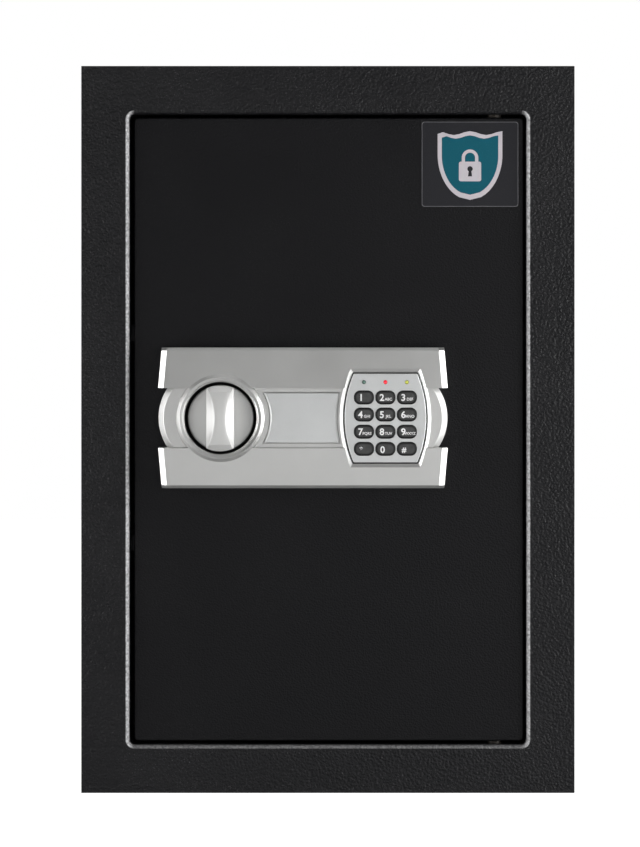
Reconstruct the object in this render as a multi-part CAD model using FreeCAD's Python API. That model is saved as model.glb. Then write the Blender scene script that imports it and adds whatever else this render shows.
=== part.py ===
import FreeCAD, Part
import math
import os

from FreeCAD import Vector

# A recessed wall safe.  X is to the right, Y goes into the wall and Z is up.  The origin is the centre
# of the flange, in the plane of the wall's face.  All sizes are millimetres.  Nodes are exported with
# the door closed, the bolts drawn back, the knob upright and the solenoid pulled in.

# ---- frame and body ----
FLANGE_W = 380.0
FLANGE_H = 560.0
FLANGE_SHEET = 2.0
BORDER = 37.0           # flange between its outer edge and the door opening
OVERHANG = 14.0         # flange beyond the body on each side
OPENING_R = 4.0         # corners of the door opening
BEND_R = 1.0            # inner radius of the folded lip
LIP_DEPTH = 18.0        # the lip reaches this far behind the wall's face
BODY_DEPTH = 96.5
BODY_SHEET = 1.5
BODY_R = 3.0
BODY_SEAT = 0.3         # depth of the seat for the body's edge in the back of the flange
WELD_GAP = 0.3          # the seat is wider than the body by this on each side
BACK_SHEET = 1.5
STUD_HOLE_R = 4.0
STUD_HOLE_Y = 45.0
STUD_HOLE_FROM_END = 76.0
MAT_T = 2.5

# ---- door ----
GAP_LATCH = 3.5
GAP_HINGE = 2.0
GAP_ENDS = 2.5
DOOR_SHEET = 4.0
DOOR_RECESS = 4.5       # door face behind the flange's face
DOOR_R = 3.0
DOOR_EDGE_R = 1.2
INNER_SHEET = 2.0
COVER_SHEET = 1.2
HINGE_INSET = 22.0      # hinge axis from the door's hinge edge
HINGE_DEPTH = 3.5       # hinge axis behind the door plate
HINGE_PIN_R = 3.0
BUSH_WALL = 1.45
RUNNING_CLEARANCE = 0.05
LUG_H = 16.0
LABEL_W = 74.4
LABEL_H = 65.4
LABEL_FROM_EDGE = 4.1
LABEL_FROM_TOP = 3.2
LABEL_T = 0.2

# ---- lock fascia, placed from the knob's axis ----
KNOB_FROM_EDGE = 67.3   # knob axis from the door's latch edge
LOCK_Z = 9.2            # height of the knob, the cylinder and the fascia's centre line
FASCIA_HALF_W = 111.1
FASCIA_HALF_H = 54.0
FASCIA_TAPER = 2.6      # each band is narrower by this at its outer edge
FASCIA_FROM_KNOB = 63.05
FASCIA_DRAFT = 4.4      # width of the sloping end faces
FASCIA_END_DROP = 3.4   # depth of the sloping end faces
FASCIA_WALL = 2.5
MID_HALF_H = 22.9
MID_END_R = 41.0
MID_CHAMFER = 4.2
RIDGE_H = 17.0          # heights above the door's face
BAND_EDGE_H = 15.0
BAND_RIM_H = 12.7
BAND_BEVEL = 2.3
MID_H = 13.0
RING_H = 19.0
RING_TOP_R = 31.5
RING_FOOT_R = 34.3
RING_BEVEL = 6.0
WELL_R = 27.6
WELL_FLOOR_H = 6.0
SURROUND_H = 18.1
PLATE_SEAT_H = 15.7

# ---- knob and bolt work ----
KNOB_R = 25.2
KNOB_RECESS = 4.0       # knob's disc below the rim of its ring
DISC_T = 6.5
GRIP_H = 17.0
GRIP_HALF_L = 26.5      # at its foot, where the disc's edge cuts it off
GRIP_TOP_HALF_L = 20.0
GRIP_BASE_HALF_W = 10.5
GRIP_END_HALF_W = 8.8
GRIP_WAIST_HALF_W = 4.8
GRIP_SCOOP = 5.0         # depth of the facets that lead up to the waist
SPINDLE_R = 5.0
SPINDLE_BUSH_R = 7.0
CRANK_R = 15.0
CRANK_ANGLE = 30.0      # right of upright at rest, left of upright when thrown
CRANK_PIN_R = 3.0
PIN_SLOT_CLEARANCE = 0.35
SLIDE_CLEARANCE = 0.3
BOLT_R = 6.0
BOLT_SPACING = 170.0
CARRIAGE_T = 2.5
CARRIAGE_HALF_H = 100.0
STUD_R = 3.0
STUD_OFFSET_Z = 55.0

# ---- override lock and solenoid, placed from the knob's axis ----
LOCK_FROM_KNOB = 62.2
HOUSING_R = 9.0
PLUG_R = 5.95
CAM_ARM = 31.4
CAM_TIP_R = 4.0
CAM_ANGLE = 228.1       # degrees anticlockwise from +X, seen from the front
SOLENOID_FROM_KNOB = 30.2
PLUNGER_R = 3.5
COIL_R = 8.5
PLUNGER_TRAVEL = 5.0
COVER_HALF_H = 19.3
COVER_KNOB_R = 38.0
COVER_PAD_R = 80.0
COVER_RIGHT = 88.9      # right edge of the cylinder's cover at its middle, from the knob's axis

# ---- keypad ----
PAD_FROM_KNOB = 126.2
PAD_HALF_W = 31.2
PAD_HALF_H = 34.0
PAD_SIDE_R = 87.0
PAD_GROOVE = 0.9
KEY_W = 14.9
KEY_H = 10.2
KEY_R = 4.6
KEY_PITCH_X = 16.4
KEY_PITCH_Z = 13.1
KEY_TOP_ROW = 15.8      # top row above the pad's centre
KEY_FLANGE = 0.5
KEY_CLEARANCE = 0.3
LED_R = 1.5
LED_ROW = 27.5

# ---- battery, reset button, shelves ----
CELL_R = 7.25
CELL_L = 50.5
CELL_PITCH = 15.5
CASE_WALL = 2.0
CASE_DEPTH = 22.0
CASE_FROM_HINGE = 58.0  # battery case from the hinge side of the door's inner frame
CASE_Z = -45.0
RESET_FROM_HINGE = 20.0
RESET_Z = 60.0
RESET_R = 4.0
SHELF_SHEET = 1.2
SHELF_LIP = 12.0
SHELF_Z = (80.0, -85.0)
SHELF_SIDE_GAP = 2.5
SHELF_PIN_R = 3.0

# ---- places worked out from the sizes above ----
OPEN_X = FLANGE_W / 2 - BORDER
OPEN_Z = FLANGE_H / 2 - BORDER
BODY_X = FLANGE_W / 2 - OVERHANG
BODY_Z = FLANGE_H / 2 - OVERHANG
LIP_X = OPEN_X + FLANGE_SHEET
LIP_Z = OPEN_Z + FLANGE_SHEET
DOOR_X0 = -OPEN_X + GAP_LATCH
DOOR_X1 = OPEN_X - GAP_HINGE
DOOR_Z = OPEN_Z - GAP_ENDS
FACE_Y = DOOR_RECESS - FLANGE_SHEET
DOOR_BACK_Y = FACE_Y + DOOR_SHEET
HINGE_X = DOOR_X1 - HINGE_INSET
HINGE_Y = DOOR_BACK_Y + HINGE_DEPTH
BOLT_Y = LIP_DEPTH + 1.5 + BOLT_R
INNER_X0 = DOOR_X0 + 4.5
INNER_X1 = HINGE_X - 9.0
INNER_Z = DOOR_Z - 14.5
INNER_BACK_Y = BOLT_Y + BOLT_R + 5.0
COVER_BACK_Y = INNER_BACK_Y + COVER_SHEET
CASE_X = INNER_X1 - CASE_FROM_HINGE
RESET_X = INNER_X1 - RESET_FROM_HINGE

KNOB_X = DOOR_X0 + KNOB_FROM_EDGE
LOCK_X = KNOB_X + LOCK_FROM_KNOB
FASCIA_X = KNOB_X + FASCIA_FROM_KNOB
PAD_X = KNOB_X + PAD_FROM_KNOB
SOLENOID_X = KNOB_X + SOLENOID_FROM_KNOB
SOLENOID_Y = DOOR_BACK_Y + 11.0
RING_Y = FACE_Y - RING_H
MID_Y = FACE_Y - MID_H
WELL_FLOOR_Y = FACE_Y - WELL_FLOOR_H
COVER_SEAT_Y = MID_Y + 0.7
SURROUND_Y = FACE_Y - SURROUND_H
PLATE_SEAT_Y = FACE_Y - PLATE_SEAT_H
PLATE_FRONT_Y = PLATE_SEAT_Y - 3.0
BOARD_FRONT_Y = PLATE_SEAT_Y + 6.0
BOARD_BACK_Y = BOARD_FRONT_Y + 1.6
DISC_Y = RING_Y + KNOB_RECESS
DISC_BACK_Y = DISC_Y + DISC_T
BOLT_TRAVEL = 2 * CRANK_R * math.sin(math.radians(CRANK_ANGLE))
BOLT_Z = (LOCK_Z + BOLT_SPACING / 2, LOCK_Z - BOLT_SPACING / 2)
CARRIAGE_Y0 = DOOR_BACK_Y + 2.0
CARRIAGE_Y1 = CARRIAGE_Y0 + CARRIAGE_T
CARRIAGE_X0 = KNOB_X - 20.8
STUD_X = CARRIAGE_X0 + 12.0
PIN_X = KNOB_X + CRANK_R * math.sin(math.radians(CRANK_ANGLE))
PIN_Z = LOCK_Z + CRANK_R * math.cos(math.radians(CRANK_ANGLE))
CASE_HALF_W = 2 * CELL_PITCH + CASE_WALL
CASE_HALF_H = CELL_L / 2 + 5.75 + CASE_WALL
CASE_Y1 = INNER_BACK_Y - 2.5
CASE_Y0 = CASE_Y1 - CASE_DEPTH
BOLT_TIP_X = DOOR_X0 - 0.5
PLUNGER_TIP_Z = LOCK_Z + 13.6
TOOTH_TOP_Z = PLUNGER_TIP_Z - 0.6
TONGUE_TOP_Z = PLUNGER_TIP_Z - PLUNGER_TRAVEL - 1.6
COLLAR_Z = TOOTH_TOP_Z + PLUNGER_TRAVEL + 0.5

FASCIA_SCREWS = [(sx * 92.0, sz * 40.0) for sx in (-1, 1) for sz in (-1, 1)]
KEY_NAMES = ("1", "2", "3", "4", "5", "6", "7", "8", "9", "star", "0", "hash")
PAD_POSTS = [(sx * KEY_PITCH_X / 2, KEY_TOP_ROW - n * KEY_PITCH_Z) for sx in (-1, 1) for n in (0.5, 2.5)]


def box(x0, x1, y0, y1, z0, z1):
    return Part.makeBox(x1 - x0, y1 - y0, z1 - z0, Vector(x0, y0, z0))


def rod_x(y, z, radius, x0, x1):
    return Part.makeCylinder(radius, x1 - x0, Vector(x0, y, z), Vector(1, 0, 0))


def rod_y(x, z, radius, y0, y1):
    return Part.makeCylinder(radius, y1 - y0, Vector(x, y0, z), Vector(0, 1, 0))


def rod_z(x, y, radius, z0, z1):
    return Part.makeCylinder(radius, z1 - z0, Vector(x, y, z0), Vector(0, 0, 1))


def cone_y(x, z, radius0, radius1, y0, y1):
    return Part.makeCone(radius0, radius1, y1 - y0, Vector(x, y0, z), Vector(0, 1, 0))


def lines_along_y(shape):
    """The straight edges of a shape that run along Y."""
    found = []
    for edge in shape.Edges:
        run = edge.Vertexes[-1].Point - edge.Vertexes[0].Point
        if run.Length > 0.1 and abs(abs(run.y) - run.Length) < 1e-6:
            found.append(edge)
    return found


def edges_at_y(shape, y):
    """The edges of a shape that lie wholly in the plane at y."""
    return [e for e in shape.Edges if abs(e.BoundBox.YMin - y) < 1e-5 and abs(e.BoundBox.YMax - y) < 1e-5]


def block(x0, x1, y0, y1, z0, z1, corner):
    """A box whose four edges along Y are rounded."""
    shape = box(x0, x1, y0, y1, z0, z1)
    return shape.makeFillet(corner, lines_along_y(shape))


def slot_x(x0, x1, z, radius, y0, y1):
    """A slot along X whose round ends are centred on x0 and x1."""
    ends = [rod_y(x, z, radius, y0, y1) for x in (x0, x1)]
    return box(x0, x1, y0, y1, z - radius, z + radius).fuse(ends)


def prism_y(edges, y0, y1):
    """A solid from a closed loop of edges drawn at y = 0."""
    face = Part.Face(Part.Wire(edges))
    face.translate(Vector(0, y0, 0))
    return face.extrude(Vector(0, y1 - y0, 0))


def joined(shapes):
    return shapes[0].fuse(shapes[1:]).removeSplitter()


# ---- frame and body ----

def front_frame():
    """Flange and opening: one sheet whose opening is folded back into a lip.  A shallow seat in
    the back of the flange takes the edge of the body."""
    back = 0.0
    front = -FLANGE_SHEET
    sheet = box(-FLANGE_W / 2, FLANGE_W / 2, front, back, -FLANGE_H / 2, FLANGE_H / 2)
    x, z, seat = BODY_X + WELD_GAP, BODY_Z + WELD_GAP, back - BODY_SEAT
    sheet = sheet.cut(block(-x, x, seat, back + 1, -z, z, BODY_R))
    lip = block(-LIP_X, LIP_X, front, LIP_DEPTH, -LIP_Z, LIP_Z, OPENING_R + FLANGE_SHEET)
    hole = block(-OPEN_X, OPEN_X, front - 1, LIP_DEPTH + 1, -OPEN_Z, OPEN_Z, OPENING_R)
    shape = joined([sheet, lip]).cut(hole)
    inner = [e for e in edges_at_y(shape, seat) if e.BoundBox.XMax < BODY_X and e.BoundBox.ZMax < BODY_Z
             and e.BoundBox.XMin > -BODY_X and e.BoundBox.ZMin > -BODY_Z]
    shape = shape.makeFillet(BEND_R, inner)
    mouth = [e for e in edges_at_y(shape, front) if e.BoundBox.XMax < BODY_X and e.BoundBox.XMin > -BODY_X]
    shape = shape.makeFillet(BEND_R + FLANGE_SHEET, mouth)
    reach = OPEN_Z - 1, LIP_Z + 1
    bush_r = HINGE_PIN_R + RUNNING_CLEARANCE + BUSH_WALL
    holes = [rod_z(HINGE_X, HINGE_Y, bush_r, *sorted((s * reach[0], s * reach[1]))) for s in (-1, 1)]
    return shape.cut(holes)


def body_shell():
    """Welded tube of sheet behind the flange, with two stud holes in each side."""
    outer = block(-BODY_X, BODY_X, -BODY_SEAT, BODY_DEPTH, -BODY_Z, BODY_Z, BODY_R)
    x, z = BODY_X - BODY_SHEET, BODY_Z - BODY_SHEET
    inner = block(-x, x, -1, BODY_DEPTH + 1, -z, z, BODY_R - BODY_SHEET)
    hole_z = BODY_Z - STUD_HOLE_FROM_END
    studs = [rod_x(STUD_HOLE_Y, s * hole_z, STUD_HOLE_R, -BODY_X - 1, BODY_X + 1) for s in (-1, 1)]
    spigots = [rod_x(y, z, SHELF_PIN_R - 1, -BODY_X - 1, BODY_X + 1) for y, z in shelf_pin_places()]
    return outer.cut([inner] + studs + spigots)


def back_panel():
    return block(-BODY_X, BODY_X, BODY_DEPTH, BODY_DEPTH + BACK_SHEET, -BODY_Z, BODY_Z, BODY_R)


def strike_plate():
    """Plate welded behind the latch side of the lip, with a hole for each bolt."""
    plate = box(-LIP_X - 2, -LIP_X, BEND_R + 1, BOLT_Y + 10.5, LOCK_Z - 119.2, LOCK_Z + 120.8)
    holes = [rod_x(BOLT_Y, z, BOLT_R + 0.5, -LIP_X - 3, -LIP_X + 1) for z in BOLT_Z]
    return plate.cut(holes)


def hinge_brackets():
    """A plate on the back of the lip, above and below, that carries each hinge bush."""
    plates = []
    for s in (-1, 1):
        z0, z1 = sorted((s * LIP_Z, s * (LIP_Z + 4)))
        plate = box(HINGE_X - 14, HINGE_X + 14, BEND_R, LIP_DEPTH - 1, z0, z1)
        bush_r = HINGE_PIN_R + RUNNING_CLEARANCE + BUSH_WALL
        plates.append(plate.cut(rod_z(HINGE_X, HINGE_Y, bush_r, z0 - 1, z1 + 1)))
    return Part.makeCompound(plates)


def hinge_bushes():
    """Flanged bushes in the lip and the brackets, one above and one below."""
    bushes = []
    bore = HINGE_PIN_R + RUNNING_CLEARANCE
    for s in (-1, 1):
        z0, z1 = sorted((s * OPEN_Z, s * (LIP_Z + 4)))
        f0, f1 = sorted((s * OPEN_Z, s * (OPEN_Z - 2)))
        sleeve = rod_z(HINGE_X, HINGE_Y, bore + BUSH_WALL, z0, z1)
        flange = rod_z(HINGE_X, HINGE_Y, bore + BUSH_WALL + 0.8, f0, f1)
        hole = rod_z(HINGE_X, HINGE_Y, bore, min(z0, f0) - 1, max(z1, f1) + 1)
        bushes.append(joined([sleeve, flange]).cut(hole))
    return Part.makeCompound(bushes)


def floor_mat():
    floor = -BODY_Z + BODY_SHEET
    return box(-BODY_X + 4, BODY_X - 4, 1, BODY_DEPTH - 1, floor, floor + MAT_T)


def shelf_front_y():
    return COVER_BACK_Y + 5.3


def shelf_back_y():
    return BODY_DEPTH - 1.5


def shelf_pin_places():
    """Y and Z of the pins under both shelves."""
    return [(y, z - SHELF_PIN_R - 0.2) for y in (shelf_front_y() + 9, shelf_back_y() - 7) for z in SHELF_Z]


def shelf_pins():
    """Pins with a spigot in the side wall, two at each side of each shelf."""
    pins = []
    wall = BODY_X - BODY_SHEET
    for y, z in shelf_pin_places():
        for s in (-1, 1):
            body = rod_x(y, z, SHELF_PIN_R, *sorted((s * wall, s * (wall - 8))))
            spigot = rod_x(y, z, SHELF_PIN_R - 1, *sorted((s * wall, s * BODY_X)))
            pins.append(joined([body, spigot]))
    return Part.makeCompound(pins)


def shelf(z):
    """A sheet with its front and back edges folded down."""
    x = BODY_X - BODY_SHEET - SHELF_SIDE_GAP
    y0, y1 = shelf_front_y(), shelf_back_y()
    outer = box(-x, x, y0, y1, z - SHELF_LIP, z + SHELF_SHEET)
    upper = [e for e in outer.Edges if abs(e.BoundBox.ZMin - z - SHELF_SHEET) < 1e-5]
    rolled = [e for e in upper if e.Length > 2 * x - 1]
    outer = outer.makeFillet(2 * SHELF_SHEET, rolled)
    under = box(-x - 1, x + 1, y0 + SHELF_SHEET, y1 - SHELF_SHEET, z - SHELF_LIP - 1, z)
    return outer.cut(under)


# ---- door ----

def door_plate():
    plate = block(DOOR_X0, DOOR_X1, FACE_Y, DOOR_BACK_Y, -DOOR_Z, DOOR_Z, DOOR_R)
    plate = plate.makeFillet(DOOR_EDGE_R, edges_at_y(plate, FACE_Y))
    y0, y1 = FACE_Y - 1, DOOR_BACK_Y + 1
    holes = [
        rod_y(KNOB_X, LOCK_Z, SPINDLE_BUSH_R, y0, y1),
        rod_y(LOCK_X, LOCK_Z, HOUSING_R, y0, y1),
        rod_y(PAD_X + 3, LOCK_Z, 6.0, y0, y1),
    ]
    for dx, dz in FASCIA_SCREWS:
        holes.append(rod_y(FASCIA_X + dx, LOCK_Z + dz, 2.0, y0, y1))
        holes.append(cone_y(FASCIA_X + dx, LOCK_Z + dz, 2.0, 4.0, DOOR_BACK_Y - 2, DOOR_BACK_Y))
    return plate.cut(holes)


def cover_screw_places():
    """X and Z of the screws that hold the inner cover: four corners and the middle of each side."""
    xs = (INNER_X0 + 9, (INNER_X0 + INNER_X1) / 2, INNER_X1 - 9)
    zs = (-INNER_Z + 9, 0.0, INNER_Z - 9)
    return [(x, z) for x in xs for z in zs if not (x == xs[1] and z == zs[1])]


def door_inner_frame():
    """A box ring welded to the back of the door, with screw tabs and a hole for each bolt."""
    ring = block(INNER_X0, INNER_X1, DOOR_BACK_Y, INNER_BACK_Y, -INNER_Z, INNER_Z, 3.0)
    t = INNER_SHEET
    y0, y1, z = DOOR_BACK_Y - 1, INNER_BACK_Y + 1, INNER_Z - t
    room = block(INNER_X0 + t, INNER_X1 - t, y0, y1, -z, z, 1.0)
    bores = [rod_x(BOLT_Y, z, BOLT_R + SLIDE_CLEARANCE, INNER_X0 - 1, INNER_X0 + t + 1) for z in BOLT_Z]
    ring = ring.cut([room] + bores)
    tabs = []
    for x, z in cover_screw_places():
        x0 = INNER_X0 + 1 if x < INNER_X0 + 10 else x - 6
        x1 = INNER_X1 - 1 if x > INNER_X1 - 10 else x + 6
        z0 = -INNER_Z + 1 if z < -INNER_Z + 10 else z - 6
        z1 = INNER_Z - 1 if z > INNER_Z - 10 else z + 6
        tabs.append(box(x0, x1, INNER_BACK_Y - 3, INNER_BACK_Y, z0, z1))
    holes = [rod_y(x, z, 2.0, INNER_BACK_Y - 4, INNER_BACK_Y + 1) for x, z in cover_screw_places()]
    return joined([ring] + tabs).cut(holes)


def inner_cover():
    """Sheet that closes the back of the door, open over the battery case and the reset button."""
    sheet = block(INNER_X0, INNER_X1, INNER_BACK_Y, COVER_BACK_Y, -INNER_Z, INNER_Z, 3.0)
    y0, y1 = INNER_BACK_Y - 1, COVER_BACK_Y + 1
    w, h = CASE_HALF_W - 1.5, CASE_HALF_H - 1.5
    window = block(CASE_X - w, CASE_X + w, y0, y1, CASE_Z - h, CASE_Z + h, 2.0)
    holes = [rod_y(x, z, 2.0, y0, y1) for x, z in cover_screw_places()]
    return sheet.cut([window, rod_y(RESET_X, RESET_Z, RESET_R + 0.2, y0, y1)] + holes)


def cover_screws():
    """Pan-head screws with a cross recess."""
    screws = []
    for x, z in cover_screw_places():
        shank = rod_y(x, z, 2.0, INNER_BACK_Y - 3, COVER_BACK_Y)
        head = cone_y(x, z, 3.8, 2.9, COVER_BACK_Y, COVER_BACK_Y + 2.2)
        recess_y = COVER_BACK_Y + 1.0
        cross = [box(x - 2, x + 2, recess_y, recess_y + 2, z - 0.4, z + 0.4)]
        cross.append(box(x - 0.4, x + 0.4, recess_y, recess_y + 2, z - 2, z + 2))
        screws.append(joined([shank, head]).cut(cross))
    return Part.makeCompound(screws)


def hinge_lugs():
    """Blocks welded to the back of the door plate, bored for the hinge pins."""
    lugs = []
    for s in (-1, 1):
        z0, z1 = sorted((s * (DOOR_Z - LUG_H), s * DOOR_Z))
        lug = box(HINGE_X - 8, HINGE_X + 8, DOOR_BACK_Y, HINGE_Y + 5, z0, z1)
        rounded = [e for e in lug.Edges if abs(e.BoundBox.YMin - HINGE_Y - 5) < 1e-5 and e.Length > LUG_H - 1]
        rounded = [e for e in rounded if e.BoundBox.XMax - e.BoundBox.XMin < 1]
        lug = lug.makeFillet(3.0, rounded)
        lugs.append(lug.cut(rod_z(HINGE_X, HINGE_Y, HINGE_PIN_R, z0 - 1, z1 + 1)))
    return Part.makeCompound(lugs)


def hinge_pins():
    pins = [(DOOR_Z - LUG_H - 2.5) * s for s in (-1, 1)]
    tips = [(LIP_Z + 5) * s for s in (-1, 1)]
    return Part.makeCompound([rod_z(HINGE_X, HINGE_Y, HINGE_PIN_R, *sorted(p)) for p in zip(pins, tips)])


def door_label():
    x1 = DOOR_X1 - LABEL_FROM_EDGE
    z1 = DOOR_Z - LABEL_FROM_TOP
    return block(x1 - LABEL_W, x1, FACE_Y - LABEL_T, FACE_Y, z1 - LABEL_H, z1, 2.0)


# ---- lock fascia ----

def band_section(z, half_w, front_y, inset):
    """Section of a band across X at a height above the centre line: upright foot, then sloping ends."""
    w = half_w - inset
    foot = front_y + FASCIA_END_DROP
    back = FACE_Y + (1 if inset else 0)
    tip = w - FASCIA_DRAFT
    outline = [(-w, back), (-w, foot), (-tip, front_y), (tip, front_y), (w, foot), (w, back), (-w, back)]
    return Part.makePolygon([Vector(FASCIA_X + x, y, LOCK_Z + z) for x, y in outline])


def band(side, inset):
    """One raised band: highest along its inner edge, falling to its bevelled outer edge."""
    slope = FASCIA_TAPER / (FASCIA_HALF_H - MID_HALF_H)
    bevel_z = FASCIA_HALF_H - BAND_BEVEL
    stations = [(MID_HALF_H + inset, RIDGE_H), (bevel_z - inset, BAND_EDGE_H)]
    stations.append((FASCIA_HALF_H - inset, BAND_RIM_H))
    sections = []
    for z, height in stations:
        half_w = FASCIA_HALF_W - slope * (z - MID_HALF_H)
        sections.append(band_section(side * z, half_w, FACE_Y - height + inset, inset))
    return Part.makeLoft(sections, True, True)


def four_corners(centre_x, half_w, half_h, y=0.0):
    """Corners of a rectangle about the lock's centre line, clockwise from the upper left."""
    turns = ((-1, 1), (1, 1), (1, -1), (-1, -1))
    return [Vector(centre_x + sx * half_w, y, LOCK_Z + sz * half_h) for sx, sz in turns]


def middle_outline(inset):
    """Loop around the middle panel: straight above and below, round at both ends."""
    h = MID_HALF_H - inset
    r = MID_END_R - inset
    centre = FASCIA_HALF_W - MID_END_R
    x = centre + math.sqrt(r * r - h * h)
    corners = four_corners(FASCIA_X, x, h)
    right = Vector(FASCIA_X + centre + r, 0, LOCK_Z)
    left = Vector(FASCIA_X - centre - r, 0, LOCK_Z)
    return [
        Part.LineSegment(corners[0], corners[1]).toShape(),
        Part.Arc(corners[1], right, corners[2]).toShape(),
        Part.LineSegment(corners[2], corners[3]).toShape(),
        Part.Arc(corners[3], left, corners[0]).toShape(),
    ]


def middle_panel():
    """Low panel between the bands, with bevelled round ends."""
    panel = prism_y(middle_outline(0), MID_Y, FACE_Y)
    ends = [e for e in edges_at_y(panel, MID_Y) if "Circle" in str(e.Curve)]
    return panel.makeChamfer(MID_CHAMFER, ends)


def barrel_outline(grow):
    """Loop around the keypad, bowed at both sides, grown by an offset."""
    h = PAD_HALF_H + grow
    r = PAD_SIDE_R + grow
    centre = PAD_HALF_W - PAD_SIDE_R
    x = centre + math.sqrt(r * r - h * h)
    corners = [Vector(PAD_X + sx * x, 0, LOCK_Z + sz * h) for sx, sz in ((-1, 1), (1, 1), (1, -1), (-1, -1))]
    right = Vector(PAD_X + centre + r, 0, LOCK_Z)
    left = Vector(PAD_X - centre - r, 0, LOCK_Z)
    return [
        Part.LineSegment(corners[0], corners[1]).toShape(),
        Part.Arc(corners[1], right, corners[2]).toShape(),
        Part.LineSegment(corners[2], corners[3]).toShape(),
        Part.Arc(corners[3], left, corners[0]).toShape(),
    ]


def barrel(grow, y0, y1, corner):
    shape = prism_y(barrel_outline(grow), y0, y1)
    return shape.makeFillet(corner, lines_along_y(shape))


def cover_outline(grow):
    """Loop around the cylinder's cover, between an arc about the knob and one beside the keypad."""
    h = COVER_HALF_H + grow
    r0 = COVER_KNOB_R - grow
    r1 = COVER_PAD_R - grow
    x0 = KNOB_X + math.sqrt(r0 * r0 - h * h)
    pad_centre = KNOB_X + COVER_RIGHT + COVER_PAD_R
    x1 = pad_centre - math.sqrt(r1 * r1 - h * h)
    left = Vector(KNOB_X + r0, 0, LOCK_Z)
    right = Vector(pad_centre - r1, 0, LOCK_Z)
    corners = [Vector(x, 0, LOCK_Z + z) for x, z in ((x0, h), (x1, h), (x1, -h), (x0, -h))]
    return [
        Part.LineSegment(corners[0], corners[1]).toShape(),
        Part.Arc(corners[1], right, corners[2]).toShape(),
        Part.LineSegment(corners[2], corners[3]).toShape(),
        Part.Arc(corners[3], left, corners[0]).toShape(),
    ]


def fascia():
    """Cast housing on the door's face: two bands, a low middle, the knob's ring and the pad's surround."""
    ring = joined([
        rod_y(KNOB_X, LOCK_Z, RING_FOOT_R, RING_Y + RING_BEVEL, FACE_Y),
        cone_y(KNOB_X, LOCK_Z, RING_TOP_R, RING_FOOT_R, RING_Y, RING_Y + RING_BEVEL),
    ])
    surround = barrel(PAD_GROOVE + 3.5, SURROUND_Y, FACE_Y, 3.0)
    surround = surround.makeChamfer(2.4, edges_at_y(surround, SURROUND_Y))
    outer = joined([band(1, 0), band(-1, 0), middle_panel(), ring, surround])

    wall = FASCIA_WALL
    half_w = FASCIA_HALF_W - MID_END_R / 4 - wall
    cavity = joined([
        band(1, wall),
        band(-1, wall),
        box(FASCIA_X - half_w, FASCIA_X + half_w, COVER_SEAT_Y + wall, FACE_Y + 1,
            LOCK_Z - MID_HALF_H - 2 * wall, LOCK_Z + MID_HALF_H + 2 * wall),
    ])
    kept = [rod_y(KNOB_X, LOCK_Z, WELL_R + wall, RING_Y, FACE_Y + 1)]
    kept.append(barrel(1.5, SURROUND_Y, FACE_Y + 1, 2.0))
    kept += [rod_y(FASCIA_X + dx, LOCK_Z + dz, 5.0, RING_Y, FACE_Y + 1) for dx, dz in FASCIA_SCREWS]
    cavity = cavity.cut(kept)

    cuts = [cavity]
    cuts.append(rod_y(KNOB_X, LOCK_Z, WELL_R, RING_Y - 1, WELL_FLOOR_Y))
    cuts.append(rod_y(KNOB_X, LOCK_Z, WELL_R - 2, WELL_FLOOR_Y + wall, FACE_Y + 1))
    cuts.append(rod_y(KNOB_X, LOCK_Z, SPINDLE_BUSH_R, WELL_FLOOR_Y - 1, FACE_Y + 1))
    cuts.append(barrel(PAD_GROOVE, SURROUND_Y - 1, PLATE_SEAT_Y, 2.0))
    cuts.append(barrel(-wall, PLATE_SEAT_Y - 1, FACE_Y + 1, 1.0))
    cuts.append(prism_y(cover_outline(0.4), SURROUND_Y - 1, COVER_SEAT_Y))
    cuts.append(rod_y(LOCK_X, LOCK_Z, HOUSING_R + 2, SURROUND_Y, FACE_Y + 1))
    cuts += [rod_y(FASCIA_X + dx, LOCK_Z + dz, 2.0, FACE_Y - 9, FACE_Y + 1) for dx, dz in FASCIA_SCREWS]
    return outer.cut(cuts)


def fascia_screws():
    """Countersunk screws through the door plate into the bosses of the fascia."""
    screws = []
    for dx, dz in FASCIA_SCREWS:
        x, z = FASCIA_X + dx, LOCK_Z + dz
        shank = rod_y(x, z, 2.0, FACE_Y - 8.5, DOOR_BACK_Y)
        head = cone_y(x, z, 2.0, 4.0, DOOR_BACK_Y - 2, DOOR_BACK_Y)
        slot = box(x - 3.2, x + 3.2, DOOR_BACK_Y - 0.8, DOOR_BACK_Y + 1, z - 0.5, z + 0.5)
        screws.append(joined([shank, head]).cut(slot))
    return Part.makeCompound(screws)


def override_cover():
    """Snap-on cover over the override cylinder."""
    plate = prism_y(cover_outline(0), MID_Y - 1.5, COVER_SEAT_Y - 0.2)
    return plate.makeChamfer(1.2, edges_at_y(plate, MID_Y - 1.5))


# ---- keypad ----

def key_places():
    """Centre of each key, row by row from the top left."""
    places = []
    for n in range(len(KEY_NAMES)):
        row, column = divmod(n, 3)
        places.append((PAD_X + (column - 1) * KEY_PITCH_X, LOCK_Z + KEY_TOP_ROW - row * KEY_PITCH_Z))
    return places


def key_block(x, z, grow, y0, y1):
    w, h = KEY_W / 2 + grow, KEY_H / 2 + grow
    return block(x - w, x + w, y0, y1, z - h, z + h, KEY_R + grow)


def key(x, z):
    """A rubber key with a rounded front and a flange behind the plate."""
    front = PLATE_FRONT_Y - 0.8
    cap = key_block(x, z, 0, front, PLATE_SEAT_Y + 0.7)
    cap = cap.makeFillet(0.6, edges_at_y(cap, front))
    flange = key_block(x, z, KEY_FLANGE, PLATE_SEAT_Y + 0.7, PLATE_SEAT_Y + 1.9)
    return joined([cap, flange])


def led_places():
    return [(PAD_X + n * KEY_PITCH_X, LOCK_Z + LED_ROW) for n in (-1, 0, 1)]


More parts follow.
